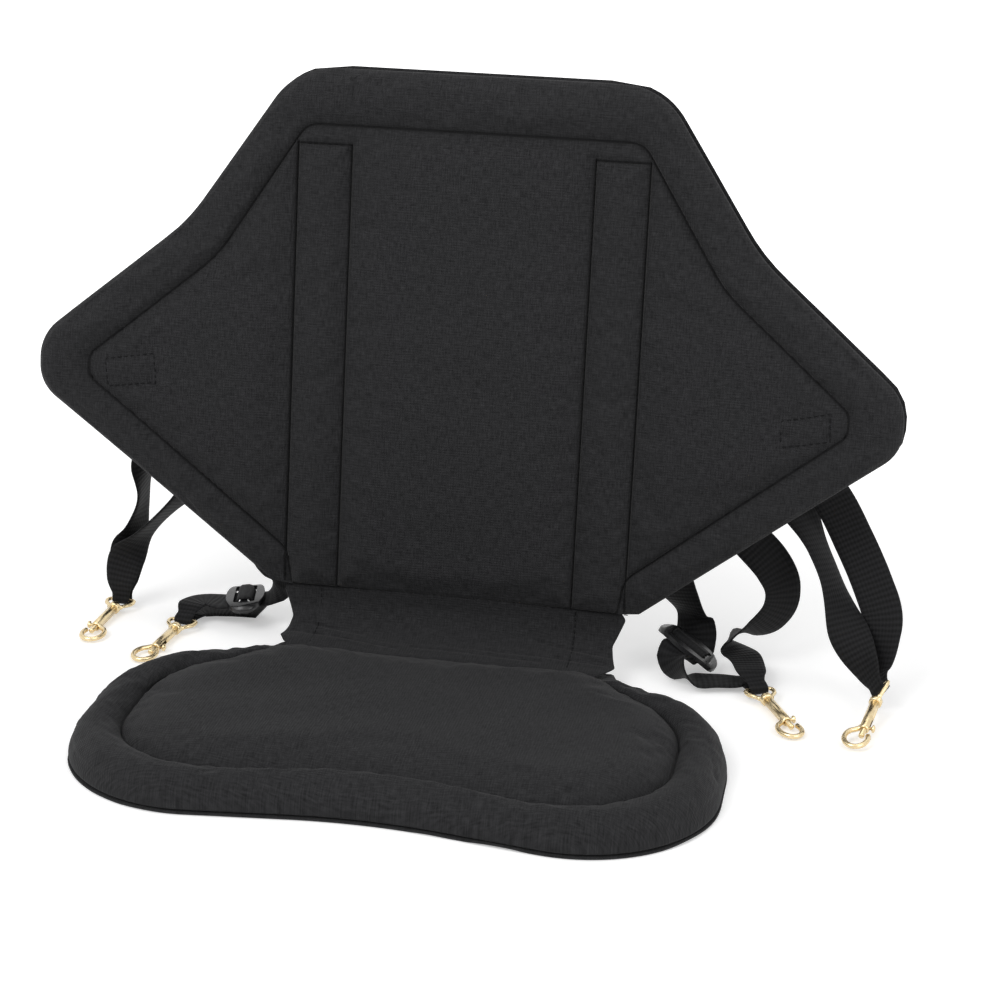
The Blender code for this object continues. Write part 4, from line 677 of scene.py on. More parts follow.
for corner, route in strap_routes.items():
    left_edge, right_edge, travelled = edge_curve(route)
    strap, strap_middle = ribbon(
        f"strap_webbing_{corner}", left_edge, right_edge, travelled, webbing_thickness
    )
    strap.data.materials.append(webbing_black)
    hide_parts(f"strap_{corner}")
    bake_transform(strap)

# Backrest pad: two layers of woven polyester over foam, sewn through along an inner seam and two channels.
# It leans back 7 degrees and its wings curve forward, and its border is puffed out by the seam.
back_lean = math.radians(7.0)
back_height = 0.325
foot_y = 0.132
foot_z = 0.036
wing_curve = 0.25
neck_half = 0.1045
back_top_half = 0.110
channel_inner = 0.074
channel_outer = 0.107
channel_lines = (-channel_outer, -channel_inner, channel_inner, channel_outer)
channel_top = 0.280
back_sheet_level = -0.0085
# Levels of the border's top, the seam, the middle's top and the outer edge
back_levels = (0.0090, 0.0022, 0.0088, 0.0)


def rounded_line(corners, steps=10):
    """A closed line through (x, y, radius) corners: each corner is an arc that touches both its sides."""
    line = []
    for index, (x, y, radius) in enumerate(corners):
        here = np.array([x, y])
        before = np.array(corners[index - 1][:2]) - here
        after = np.array(corners[(index + 1) % len(corners)][:2]) - here
        before /= np.linalg.norm(before)
        after /= np.linalg.norm(after)
        half = math.acos(np.clip(before @ after, -1, 1)) / 2
        if radius <= 0 or half > math.radians(89.5):
            line.append(here[None])
            continue
        middle = (before + after) / np.linalg.norm(before + after)
        centre = here + middle * radius / math.sin(half)
        share = np.linspace(-1, 1, steps + 1)[:, None] * (math.pi / 2 - half)
        sideways = (after - before) / np.linalg.norm(after - before)
        line.append(centre + radius * (-middle * np.cos(share) + sideways * np.sin(share)))
    return np.vstack(line)


def both_sides(half):
    """A closed list of corners from its right half, top middle first."""
    return half + [(-x, y, radius) for x, y, radius in reversed(half) if x > 0]


def line_distance(points, line, closed=True):
    """Each point's distance from a line of straight pieces, with the share clamped to each piece."""
    start = line if closed else line[:-1]
    run = (np.roll(line, -1, axis=0) if closed else line[1:]) - start
    best = np.full(len(points), 1e9)
    for a, b in zip(start, run):
        offset = points - a
        share = np.clip(offset @ b / max(b @ b, 1e-12), 0, 1)
        best = np.minimum(best, np.hypot(*(offset - share[:, None] * b).T))
    return best


def within(points, line):
    """Whether each point is inside a closed line, by counting the pieces that it crosses."""
    x, y = points.T
    count = np.zeros(len(points), int)
    for (x0, y0), (x1, y1) in zip(line, np.roll(line, -1, axis=0)):
        if y0 != y1:
            count += ((y0 > y) != (y1 > y)) & (x < x0 + (y - y0) * (x1 - x0) / (y1 - y0))
    return count % 2 == 1


back_edge = rounded_line(both_sides([
    (0.0, back_height, 0.0),
    (back_top_half, back_height, 0.045),
    (0.175, 0.2285, 0.120),
    (0.2655, 0.153, 0.030),
    (0.2655, 0.122, 0.025),
    (neck_half + 0.0135, 0.008, 0.040),
    (neck_half + 0.004, 0.0, 0.0),
    (0.0, 0.0, 0.0),
]), steps=16)
back_seam = rounded_line(both_sides([
    (0.0, back_height - 0.0336, 0.0),
    (0.102, back_height - 0.0336, 0.014),
    (0.155, 0.2085, 0.090),
    (0.2333, 0.143, 0.009),
    (0.2333, 0.129, 0.009),
    (neck_half + 0.002, 0.028, 0.016),
    (neck_half - 0.002, 0.006, 0.0),
    (0.0, 0.006, 0.0),
]), steps=12)
wing_boxes = [
    np.array([(-0.2205, 0.1242), (-0.1905, 0.1282), (-0.1922, 0.1462), (-0.2222, 0.1412)]),
    np.array([(0.1950, 0.1196), (0.2235, 0.1256), (0.2222, 0.1422), (0.1938, 0.1352)]),
]


def on_back(flat, level):
    """The backrest's flat frame in space: x across, s up the lean, a level forward of its middle sheet."""
    forward = level + wing_curve * flat[..., 0] ** 2
    y = foot_y + flat[..., 1] * math.sin(back_lean) - forward * math.cos(back_lean)
    z = foot_z + flat[..., 1] * math.cos(back_lean) + forward * math.sin(back_lean)
    return np.stack([flat[..., 0], y, z], -1)


def ripple(x, y, seed, size):
    """A soft uneven surface, mostly between -1 and 1: eight sine waves in scattered directions over 4."""
    dice = np.random.default_rng(seed)
    total = np.zeros(np.shape(x))
    for _ in range(8):
        angle, phase, scale = dice.uniform(0, 6.283), dice.uniform(0, 6.283), dice.uniform(0.6, 1.7)
        total += np.sin((x * math.cos(angle) + y * math.sin(angle)) * 6.283 / (size * scale) + phase)
    return total / 4.0


def quilt(flat, edge, seam, sewn, border_top, seam_level, middle_top, edge_level, run=0.015):
    """A quilted front's level: a rounded border outside the seam, and a middle that dips to each sewn line.

    The border's arch is a power of 4t(1-t), t from seam to edge, and is lower where the border is narrow.
    The middle rises from the nearest sewn line as a power of r(2-r), r its distance over the run, up to 1.
    """
    points = flat.reshape(-1, 2)
    to_edge = line_distance(points, edge)
    to_seam = line_distance(points, seam)
    inside = within(points, seam)
    share = to_seam / np.maximum(to_edge + to_seam, 1e-9)
    arch = np.clip(4 * share * (1 - share), 0, 1) ** 0.60 * np.clip((to_edge + to_seam) / 0.024, 0, 1) ** 2
    slant = seam_level + (edge_level - seam_level) * share
    border = slant + (border_top - (seam_level + edge_level) / 2) * arch
    near = to_seam
    for line, closed, depth in sewn:
        near = np.minimum(near, line_distance(points, line, closed) + depth)
    rise = np.clip(near / run, 0, 1)
    middle = seam_level + (middle_top - seam_level) * (rise * (2 - rise)) ** 0.6
    shape = flat.shape[:-1]
    level = np.where(inside, middle, border).reshape(shape)
    from_seam = np.where(inside, -to_seam, to_seam).reshape(shape)
    return level, np.minimum(near, to_edge).reshape(shape), from_seam


def swell(places, near, push, spare, limit):
    """How far each point of a quilted front moves as it swells between its sewn lines in Blender's Cloth.

    Places that fall together are one point of the cloth. A move of size m is kept as limit * tanh(m / limit).
    """
    same_place, held_within, frames = 0.0004, 0.0030, 20
    rows, columns = places.shape[:2]
    points = places.reshape(-1, 3)
    _, first, source = np.unique(
        np.round(points / same_place), axis=0, return_index=True, return_inverse=True
    )
    quads = grid_faces(source.reshape(rows, columns))
    faces = [tuple(dict.fromkeys(quad)) for quad in quads.tolist()]
    mesh = bpy.data.meshes.new("cloth_trial")
    mesh.from_pydata(points[first].tolist(), [], [face for face in faces if len(face) > 2])
    mesh.validate()
    cloth = bpy.data.objects.new("cloth_trial", mesh)
    bpy.context.scene.collection.objects.link(cloth)
    held = cloth.vertex_groups.new(name="sewn")
    held.add(np.unique(source.ravel()[near.ravel() < held_within]).tolist(), 1.0, "REPLACE")
    step = cloth.modifiers.new("swell", "CLOTH")
    step.settings.quality = 6
    step.settings.mass = 0.25
    step.settings.tension_stiffness = 12
    step.settings.compression_stiffness = 12
    step.settings.shear_stiffness = 6
    step.settings.bending_stiffness = 0.35
    step.settings.use_pressure = True
    step.settings.uniform_pressure_force = push
    step.settings.shrink_min = -spare
    step.settings.vertex_group_mass = "sewn"
    step.settings.effector_weights.gravity = 0.0
    step.collision_settings.use_collision = False
    step.point_cache.frame_start = 1
    step.point_cache.frame_end = frames
    for number in range(1, frames + 1):
        bpy.context.scene.frame_set(number)
    settled = cloth.evaluated_get(bpy.context.evaluated_depsgraph_get())
    ended = np.empty(len(first) * 3)
    settled.data.vertices.foreach_get("co", ended)
    bpy.context.scene.frame_set(1)
    bpy.data.objects.remove(cloth, do_unlink=True)
    move = (ended.reshape(-1, 3) - points[first])[source.ravel()].reshape(rows, columns, 3)
    size = np.maximum(np.linalg.norm(move, axis=2, keepdims=True), 1e-9)
    return move * limit * np.tanh(size / limit) / size


def finer(grid, rows, columns):
    """The same values on a finer grid, by a cubic (Catmull-Rom) curve along each way."""
    for axis, count in ((0, rows), (1, columns)):
        grid = np.moveaxis(grid, axis, 0)
        last = len(grid) - 1
        at = np.linspace(0, last, count)
        cell = np.minimum(at.astype(int), last - 1)
        t = (at - cell).reshape((-1,) + (1,) * (grid.ndim - 1))
        a, b = grid[np.maximum(cell - 1, 0)], grid[cell]
        c, d = grid[cell + 1], grid[np.minimum(cell + 2, last)]
        grid = b + 0.5 * t * (c - a + t * (2 * a - 5 * b + 4 * c - d + t * (3 * (b - c) + d - a)))
        grid = np.moveaxis(grid, 0, axis)
    return grid


def shell_of(name, front, back, flat, seam, channel):
    """A closed shell from a front and a back grid that share their outer edge.

    Each point keeps its signed distance from the seam and its distance from the channels for the material.
    """
    rows, columns = front.shape[:2]
    quads = grid_faces(np.arange(rows * columns).reshape(rows, columns))
    other = quads[:, ::-1] + rows * columns
    mesh = bpy.data.meshes.new(name)
    places = np.vstack([front.reshape(-1, 3), back.reshape(-1, 3)])
    mesh.from_pydata(places.tolist(), [], np.vstack([quads, other]).tolist())
    lay_flat_map(mesh, np.stack([flat, flat]))
    for label, values in (("seam", seam), ("channel", channel)):
        kept = mesh.attributes.new(label, "FLOAT", "POINT")
        both = np.concatenate([values.ravel(), values.ravel() * 0 + 1.0])
        kept.data.foreach_set("value", both.astype(np.float32))
    weld = bmesh.new()
    weld.from_mesh(mesh)
    bmesh.ops.remove_doubles(weld, verts=weld.verts, dist=2e-6)
    bmesh.ops.dissolve_degenerate(weld, edges=weld.edges, dist=1e-7)
    weld.to_mesh(mesh)
    weld.free()
    return turn_faces_out(smooth_object(name, mesh))


def eased(count, ease):
    """Shares from 0 to 1 that stand closer together at both ends: t - ease * sin(2 pi t) / (2 pi)."""
    t = np.linspace(0, 1, count)
    return t - ease * np.sin(2 * np.pi * t) / (2 * np.pi)


def back_grid(rows, inner, channel, outer):
    """Flat points over the backrest: rows up it, and columns that run straight along the channel lines."""
    half = back_edge[back_edge[:, 0] >= 0]
    half = half[np.argsort(half[:, 1], kind="stable")]
    up = back_height * eased(rows, 0.5)
    up[np.argmin(abs(up - channel_top))] = channel_top
    reach = np.interp(up, half[:, 1], half[:, 0])
    # The top row ends where the top corners' arcs begin
    reach[-1] = back_top_half - 0.0318
    pinch = np.minimum(1.0, reach / (channel_lines[3] + 0.0012))[:, None]
    first = channel_lines[2] * np.sin(np.pi / 2 * np.linspace(0, 1, inner))[None] * pinch
    second = (channel_lines[2] + (channel_lines[3] - channel_lines[2]) * eased(channel, 0.7))[None] * pinch
    third = second[:, -1:] + (reach[:, None] - second[:, -1:]) * eased(outer, 0.6)[None]
    right = np.hstack([first, second[:, 1:], third[:, 1:]])
    across = np.hstack([-right[:, :0:-1], right])
    return np.stack([across, np.repeat(up[:, None], across.shape[1], 1)], -1)


channel_sides = [np.array([(x, 0.006), (x, channel_top)]) for x in channel_lines]
channel_ends = [
    np.array([(side * channel_outer, channel_top), (side * channel_inner, channel_top)]) for side in (-1, 1)
]
# Each sewn line, whether it is closed, and how much shallower it is, as a distance
back_sewn = [(line, False, 0.0) for line in channel_sides]
back_sewn += [(line, False, 0.002) for line in channel_ends]
back_sewn += [(box, True, 0.0065) for box in wing_boxes]


def back_front(*counts):
    """The backrest's front before it swells: its flat points, levels, and distances from what is sewn."""
    flat = back_grid(*counts)
    return flat, *quilt(flat, back_edge, back_seam, back_sewn, *back_levels)


def shell_finish(name, sewn):
    """Charcoal woven polyester: a plain weave, uneven slub yarns both ways, soft creases and a faint sheen.

    On a quilted piece it is also pinched in, and painted shade darkens it, where the seam and channel
    distances fall to zero.
    """
    made, tree, shader = new_material(name, {
        "Base Color": (0.018, 0.018, 0.019, 1.0),
        "Roughness": 0.85,
        "Sheen Weight": 0.05,
        "Sheen Roughness": 0.5,
        "Specular IOR Level": 0.16,
    })
    place = add_node(tree, "UVMap", {}, uv_map="metres").outputs["UV"]
    slubs = []
    for stretch in ((300.0, 2400.0, 1.0), (2400.0, 300.0, 1.0)):
        spread = add_node(tree, "Mapping", {"Vector": place, "Scale": stretch}).outputs["Vector"]
        yarn = {"Vector": spread, "Scale": 0.55, "Detail": 3.0, "Roughness": 0.6}
        slubs.append(add_node(tree, "TexNoise", yarn).outputs["Fac"])
    yarns = worked(tree, "MULTIPLY", worked(tree, "ADD", *slubs), 0.5)
    tint = tones_between(tree, yarns, (0.0080, 0.0080, 0.0087), (0.0295, 0.0295, 0.0312), (0.37, 0.65))
    weave = [thread_wave(tree, place, way, 0.0015791, 0.5) for way in ("X", "Y")]
    height = worked(tree, "ADD", worked(tree, "MULTIPLY", *weave), worked(tree, "MULTIPLY", yarns, 0.6))
    grain = raised_grain(tree, height, 0.6, 0.0003)
    creases = {"Vector": place, "Scale": 48.0, "Detail": 4.0, "Distortion": 0.6}
    creases = add_node(tree, "TexNoise", creases).outputs["Fac"]
    normal = raised_grain(tree, creases, 0.3, 0.0014, over=grain)
    if sewn:
        distances = []
        for label in ("seam", "channel"):
            distance = add_node(tree, "Attribute", {}, attribute_name=label).outputs["Fac"]
            distances.append(worked(tree, "ABSOLUTE", distance, 0.0))
        pinch = add_node(tree, "MapRange", {
            "Value": worked(tree, "MINIMUM", *distances),
            "From Min": 0.0002,
            "From Max": 0.0012,
        }, interpolation_type="SMOOTHSTEP").outputs["Result"]
        # Painted shade: the cloth's colour turns near black along the seams and channels, where the sewn
        # creases fall in shade
        shade = {"Factor": pinch, "A": (0.0060, 0.0060, 0.0065, 1.0), "B": tint}
        tint = add_node(tree, "Mix", shade, data_type="RGBA").outputs["Result"]
        normal = raised_grain(tree, pinch, 0.8, 0.0008, over=normal)
    feed(tree, shader, {"Base Color": tint, "Normal": normal})
    return made


charcoal_weave = shell_finish("charcoal_weave", sewn=False)
quilted_weave = shell_finish("charcoal_quilting", sewn=True)


def pucker(flat, near, seed, depth):
    """Gathers beside a sewn line: short ridges that fade away from the stitches."""
    x, y = flat[..., 0], flat[..., 1]
    ridges = ripple(x, y, seed, 0.011)
    return depth * ridges * np.exp(-((near / 0.010) ** 2)) * np.clip(near / 0.003, 0, 1)


trial_flat, trial_level, trial_near, _ = back_front(70, 13, 9, 41)
trial = on_back(trial_flat, trial_level)
for box in wing_boxes:
    to_box = line_distance(trial_flat.reshape(-1, 2), box).reshape(trial_near.shape)
    trial_near = np.minimum(trial_near, to_box)
back_move = np.zeros(trial.shape)
back_move = swell(trial, trial_near, push=4.0, spare=0.008, limit=0.0016)
flat, level, near, seam_distance = back_front(220, 25, 17, 81)
level = level + pucker(flat, near, 11, 0.0005)
level = level + 0.0006 * ripple(flat[..., 0], flat[..., 1], 12, 0.06) * np.clip(near / 0.01, 0, 1)
channel_distance = np.min([
    line_distance(flat.reshape(-1, 2), line, False) for line in channel_sides + channel_ends
], axis=0).reshape(near.shape)
back_front_places = on_back(flat, level) + finer(back_move, *near.shape)
back_depth = np.clip(line_distance(flat.reshape(-1, 2), back_edge) / 0.004, 0, 1).reshape(near.shape)
back_rear = back_sheet_level * (back_depth * (2 - back_depth)) ** 0.5
backrest = shell_of(
    "backrest_cushion", back_front_places, on_back(flat, back_rear), flat, seam_distance, channel_distance
)
backrest.data.materials.append(quilted_weave)
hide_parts("backrest_pad")
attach(backrest, "backrest")

# Rear cover: one thin sheet of the same cloth behind the foam, its hem just proud of the pad's edge.
# It is sewn to the pad all round, so it follows the lean and the wings' curve.
cover_flat = back_grid(60, 12, 5, 24)
cover_flat = cover_flat * np.array([1.0045, 1.004])
cover_level = np.full(cover_flat.shape[:-1], back_sheet_level - 0.0010)
cover_level = cover_level + 0.0003 * ripple(cover_flat[..., 0], cover_flat[..., 1], 5, 0.05)
rear_cover = grid_mesh("backrest_cover", on_back(cover_flat, cover_level), cover_flat)
cover_wall = rear_cover.modifiers.new("cloth", "SOLIDIFY")
cover_wall.thickness = 0.0010
cover_wall.offset = 0.0
rear_cover.data.materials.append(charcoal_weave)
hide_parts("backrest_rear_cover")
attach(rear_cover, "backrest")

# Two wide webbing bands, 38 mm, sewn down the rear cover behind the stitched channels.
# They are the same ribbed webbing as the straps and carry the straps' pull into the backrest.
for side, sign in (("left", -1), ("right", 1)):
    up = np.linspace(0.004, channel_top + 0.004, 120)
    band_level = back_sheet_level - 0.0027 + 0.0002 * np.sin(up * 90)
    edges = [
        on_back(np.column_stack([np.full(120, sign * 0.0905 + reach), up]), band_level)
        for reach in (-0.019, 0.019)
    ]
    band, _ = ribbon(f"rear_webbing_{side}", edges[0], edges[1], up, 0.0016)
    band.data.materials.append(webbing_black)
    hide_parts(f"rear_band_{side}")
    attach(band, "backrest")

# Seat pad: the same cloth over foam, kidney shaped, with a puffed border round a lower inner seam.
# It lies flat, so only its front, rear and sides are rounded down to the ground.
seat_half = 0.185
seat_border = 0.028
seat_floor = 0.0015
seat_rim = 0.0042
# Levels of the border's top, the seam, the middle's top and the outer edge
seat_levels = (0.0222, 0.0118, 0.0250, seat_rim)
seat_crown_run = 0.026
seat_edge = rounded_line(both_sides([
    (0.0, 0.115, 0.0),
    (neck_half, 0.115, 0.004),
    (neck_half + 0.004, 0.102, 0.020),
    (seat_half, 0.040, 0.095),
    (seat_half, -0.125, 0.078),
    (0.0, -0.099, 0.300),
]), steps=24)
seat_seam = rounded_line(both_sides([
    (0.0, 0.092, 0.0),
    (0.0955, 0.092, 0.045),
    (seat_half - seat_border, 0.0300, 0.075),
    (seat_half - seat_border, -0.0976, 0.060),
    (0.0, -0.0749, 0.300),
]), steps=14)


def seat_grid(rows, columns):
    """Flat points over the seat: rays from its middle to its edge, with rows closest together at the edge."""
    line = np.vstack([seat_edge, seat_edge[:1]])
    run = run_along(line)
    at = np.linspace(0, run[-1], columns)
    rim = np.column_stack([np.interp(at, run, line[:, 0]), np.interp(at, run, line[:, 1])])
    out = np.sin(np.pi / 2 * np.linspace(0.0, 1.0, rows))
    return out[:, None, None] * rim[None]


def seat_top(rows, columns):
    """The seat's top before it swells: the border lies flat behind the rear seam, under the hinge band."""
    flat = seat_grid(rows, columns)
    level, near, seam = quilt(flat, seat_edge, seat_seam, [], *seat_levels, run=seat_crown_run)
    behind = np.clip((flat[..., 1] - 0.086) / 0.010, 0, 1)
    flatten = behind * np.clip((0.114 - abs(flat[..., 0])) / 0.012, 0, 1)
    low = 0.0125 - 0.0045 * np.clip((flat[..., 1] - 0.092) / 0.023, 0, 1)
    level = level + (np.minimum(level, low) - level) * flatten**0.5
    return flat, level, near, seam


def raised(flat, level):
    """Flat points at their heights."""
    return np.concatenate([flat, level[..., None]], -1)


trial_flat, trial_level, trial_near, _ = seat_top(40, 150)
trial = raised(trial_flat, trial_level)
seat_move = np.zeros(trial.shape)
seat_move = swell(trial, trial_near, push=4.0, spare=0.008, limit=0.0016)
flat, level, near, seam_distance = seat_top(120, 440)
level = level + pucker(flat, near, 21, 0.0007)
level = level + 0.0007 * ripple(flat[..., 0], flat[..., 1], 22, 0.07) * np.clip(near / 0.012, 0, 1)
top_places = raised(flat, level) + finer(seat_move, *near.shape)
top_places[:, -1] = top_places[:, 0]
seat_depth = np.clip(line_distance(flat.reshape(-1, 2), seat_edge) / 0.004, 0, 1).reshape(near.shape)
under = seat_floor + (seat_rim - seat_floor) * (1 - (seat_depth * (2 - seat_depth)) ** 0.5)
seat_cushion = shell_of(
    "seat_cushion", top_places, raised(flat, under), flat, seam_distance, np.ones(near.shape)
)
seat_cushion.data.materials.append(quilted_weave)
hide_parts("seat_pad")
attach(seat_cushion, "seat")

# Underside of the seat: a thin sheet of cloth that lies on the ground, its hem a little proud of the pad.
# The photograph shows its edge as a second thin line under the front right lobe.
base_flat = seat_grid(26, 240)
base_shift = 1.0 + 0.0003 / np.maximum(np.linalg.norm(base_flat[-1], axis=1), 0.05)
base_flat = base_flat * base_shift[None, :, None]
base_rows = np.linspace(0, 1, 26)[:, None]
base_waves = np.clip(ripple(base_flat[..., 0], base_flat[..., 1], 8, 0.05), 0, 1)
base_level = 0.0007 + 0.0009 * base_waves * base_rows**8
seat_base = turn_faces_out(grid_mesh("seat_underside", raised(base_flat, base_level), base_flat))
base_wall = seat_base.modifiers.new("cloth", "SOLIDIFY")
base_wall.thickness = 0.0011
base_wall.offset = 0.0
seat_base.data.materials.append(charcoal_weave)
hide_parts("seat_bottom_cover")
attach(seat_base, "seat")

# Hinge band: shell cloth without foam that joins the backrest's foot to the seat's rear edge.
# It starts over the backrest's foot seam, lies over the seat's flat rear border and ends in its rear seam.
band_line = np.array([
    (0.1301, 0.0455),
    (0.1303, 0.0390),
    (0.1302, 0.0330),
    (0.1286, 0.0268),
    (0.1250, 0.0215),
    (0.1195, 0.0175),
    (0.1120, 0.0153),
    (0.1030, 0.0146),
    (0.0960, 0.0140),
    (0.0925, 0.0122),
])
band_rows = 72
band_columns = 170
band_wall_half = 0.0011
band_run = run_along(band_line)
down = np.linspace(0, band_run[-1], band_rows)
band_y = np.interp(down, band_run, band_line[:, 0])
band_z = np.interp(down, band_run, band_line[:, 1])
soft = np.array([1, 6, 15, 20, 15, 6, 1]) / 64
band_y[3:-3] = np.convolve(band_y, soft, "valid")
band_z[3:-3] = np.convolve(band_z, soft, "valid")
share = down / band_run[-1]
# The band's half width at shares of its length: it is drawn in at the bend and where it enters the seams
band_half = np.interp(
    share,
    [0, 0.13, 0.42, 0.60, 0.72, 0.86, 1.0],
    [0.1030, 0.1082, 0.1012, 0.1032, 0.1054, 0.1010, 0.0930],
)
band_half[3:-3] = np.convolve(band_half, soft, "valid")
across = eased(band_columns, 0.5) * 2 - 1
band_x = band_half[:, None] * across[None]
band_flat = np.stack([band_x, np.repeat(down[:, None], band_columns, 1)], -1)
slope = np.stack([np.gradient(band_y), np.gradient(band_z)], -1)
slope /= np.linalg.norm(slope, axis=1)[:, None]
outward = np.stack([slope[:, 1], -slope[:, 0]], -1)
loose = np.sin(np.pi * np.clip(share, 0, 1))[:, None] ** 0.8
crease = 0.0009 * ripple(band_x * 0.30, down[:, None] * 1.6, 31, 0.030) * loose
# Each fold runs between two flat points (x, distance down the band) and has a depth
folds = (
    (-0.095, 0.0290, -0.055, 0.0350, 0.0017),
    (-0.098, 0.0375, -0.030, 0.0475, 0.0013),
    (0.100, 0.0340, 0.055, 0.0270, 0.0016),
    (0.098, 0.0420, 0.020, 0.0400, 0.0013),
    (0.060, 0.0480, -0.020, 0.0440, 0.0010),
)
for x0, d0, x1, d1, depth in folds:
    fold_line = np.array([(x0, d0), (x1, d1)])
    apart = line_distance(band_flat.reshape(-1, 2), fold_line, False).reshape(band_x.shape)
    valley = np.exp(-((apart / 0.0016) ** 2)) - 0.6 * np.exp(-((apart / 0.0045) ** 2))
    crease -= depth * valley * loose
rim_fade = (1 - np.abs(across[None]) ** 16) ** 0.5
end_fade = np.clip(np.sin(np.pi * share)[:, None] * 12, 0.25, 1)


def band_side(lift):
    """The band's points off its middle sheet: the middle plus the lift times the outward direction."""
    y = band_y[:, None] + outward[:, :1] * lift
    z = band_z[:, None] + outward[:, 1:] * lift
    return np.stack([band_x, y, z], -1)


band_front = band_side(crease + band_wall_half * rim_fade * end_fade)
band_rear = band_side(crease - band_wall_half * rim_fade * end_fade)
band_map = band_flat * np.array([1.0, -1.0])
hinge_cloth = turn_faces_out(grid_mesh(
    "hinge_cloth",
    np.concatenate([band_front, band_rear[:, ::-1]], axis=1),
    np.concatenate([band_map, band_map[:, ::-1]], axis=1),
    close_u=True,
    cap_ends=True,
))
hinge_cloth.data.materials.append(charcoal_weave)
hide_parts("hinge_band")
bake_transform(hinge_cloth)

# Stitches: black bonded thread, one stitch every 4 mm, along the seams, channels, wing boxes and band.
# Each is a short rounded length of thread that sinks into the cloth at both ends.
stitch_pitch = 0.0040
stitch_length = 0.0029
thread_radius = 0.00028


def stitch_row(line, closed=False):
    """Middles and half lengths of evenly spaced stitches along a flat line."""
    points = np.vstack([line, line[:1]]) if closed else line
    run = run_along(points)
    at = np.arange(stitch_pitch / 2, run[-1] - stitch_length / 2, stitch_pitch)
    middle = np.column_stack([np.interp(at, run, points[:, k]) for k in (0, 1)])
    ahead = np.column_stack([np.interp(at + stitch_length / 2, run, points[:, k]) for k in (0, 1)])
    return middle, ahead - middle


def thread_mesh(name, starts, ends, normals):
    """All the stitches as one mesh: a six-sided thread that thins at its ends and bows along its normal."""
    share = np.array([-1.0, -0.7, 0.0, 0.7, 1.0])
    thick = np.array([0.35, 0.95, 1.0, 0.95, 0.35])
    bow = np.array([-0.8, 0.3, 0.8, 0.3, -0.8])
    angle = (np.arange(6) * math.pi / 3)[None, None, :, None]
    middle, half = (starts + ends) / 2, (ends - starts) / 2
    side = np.cross(half, normals)
    side /= np.linalg.norm(side, axis=1)[:, None]
    spine = middle[:, None] + half[:, None] * share[None, :, None]
    spine = spine + normals[:, None] * (bow * thread_radius)[None, :, None]
    ring = side[:, None, None] * np.cos(angle) + normals[:, None, None] * np.sin(angle)
    places = spine[:, :, None] + ring * (thick * thread_radius)[None, :, None, None]
    count = len(starts)
    index = np.arange(count * 30).reshape(count, 5, 6)
    right = np.roll(index, -1, axis=2)
    quads = np.stack([index[:, :-1], right[:, :-1], right[:, 1:], index[:, 1:]], -1).reshape(-1, 4).tolist()
    caps = index[:, 0, ::-1].tolist() + index[:, -1].tolist()
    mesh = bpy.data.meshes.new(name)
    mesh.from_pydata(places.reshape(-1, 3).tolist(), [], quads + caps)
    return turn_faces_out(smooth_object(name, mesh))


def mottle(tree, scale, detail=2.0):
    """Fine uneven spots on a piece's own place, from 0 to 1."""
    place = add_node(tree, "TexCoord", {}).outputs["Object"]
    return add_node(tree, "TexNoise", {"Vector": place, "Scale": scale, "Detail": detail}).outputs["Fac"]


thread_black, thread_tree, thread_shader = new_material("thread_black", {
    "Base Color": (0.008, 0.008, 0.009, 1.0),
    "Roughness": 0.75,
    "Specular IOR Level": 0.1,
})
thread_twist = mottle(thread_tree, 1800.0)
thread_tones = tones_between(thread_tree, thread_twist, (0.003, 0.003, 0.003), (0.014, 0.014, 0.015))
feed(thread_tree, thread_shader, {"Base Color": thread_tones})

channel_rows = [stitch_row(np.array([(x, 0.010), (x, channel_top)])) for x in channel_lines]
channel_rows += [stitch_row(line[::-1]) for line in channel_ends]
back_rows = [stitch_row(back_seam, closed=True)] + channel_rows
back_rows += [stitch_row(box, closed=True) for box in wing_boxes]
stitch_middle, stitch_half = (np.vstack(parts) for parts in zip(*back_rows))
rear_middle, rear_half = (np.vstack(parts) for parts in zip(*channel_rows))


def back_surface(points):
    """The backrest's front at flat points, with the sewn level that it dips to there."""
    level_here, _, _ = quilt(points, back_edge, back_seam, back_sewn, *back_levels)
    return on_back(points, level_here + 0.0003)


back_normal = np.array([0.0, -math.cos(back_lean), math.sin(back_lean)])
band_back_level = back_sheet_level - 0.0038
hem_level = back_sheet_level - 0.0017
hem_line = back_edge * 0.985 + np.array([0.0, 0.0024])
hem_middle, hem_half = stitch_row(hem_line, closed=True)
thread_starts, thread_ends = (
    np.vstack([
        back_surface(stitch_middle + sign * stitch_half),
        on_back(rear_middle + sign * rear_half, band_back_level),
        on_back(hem_middle + sign * hem_half, hem_level),
    ])
    for sign in (-1, 1)
)
thread_normals = np.vstack([
    np.tile(back_normal, (len(stitch_middle), 1)),
    np.tile(-back_normal, (len(rear_middle) + len(hem_middle), 1)),
])
backrest_thread = thread_mesh("backrest_stitching", thread_starts, thread_ends, thread_normals)
backrest_thread.data.materials.append(thread_black)
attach(backrest_thread, "backrest")

hinge_at = np.arange(0.006, band_run[-1] - 0.006, stitch_pitch)
hinge_out = outward[np.searchsorted(down, hinge_at)]
hinge_ends = []
for along in (-stitch_length / 2, stitch_length / 2):
    y_at = np.interp(hinge_at + along, down, band_y) + hinge_out[:, 0] * 0.0013
    z_at = np.interp(hinge_at + along, down, band_z) + hinge_out[:, 1] * 0.0013
    rows = [np.column_stack([np.full(len(hinge_at), x), y_at, z_at]) for x in (-0.084, 0.077)]
    hinge_ends.append(np.vstack(rows))
hinge_normals = np.column_stack([np.zeros(len(hinge_at)), hinge_out])
hinge_thread = thread_mesh("hinge_stitching", *hinge_ends, np.vstack([hinge_normals] * 2))
hinge_thread.data.materials.append(thread_black)
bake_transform(hinge_thread)

seat_middle, seat_half_run = stitch_row(seat_seam, closed=True)


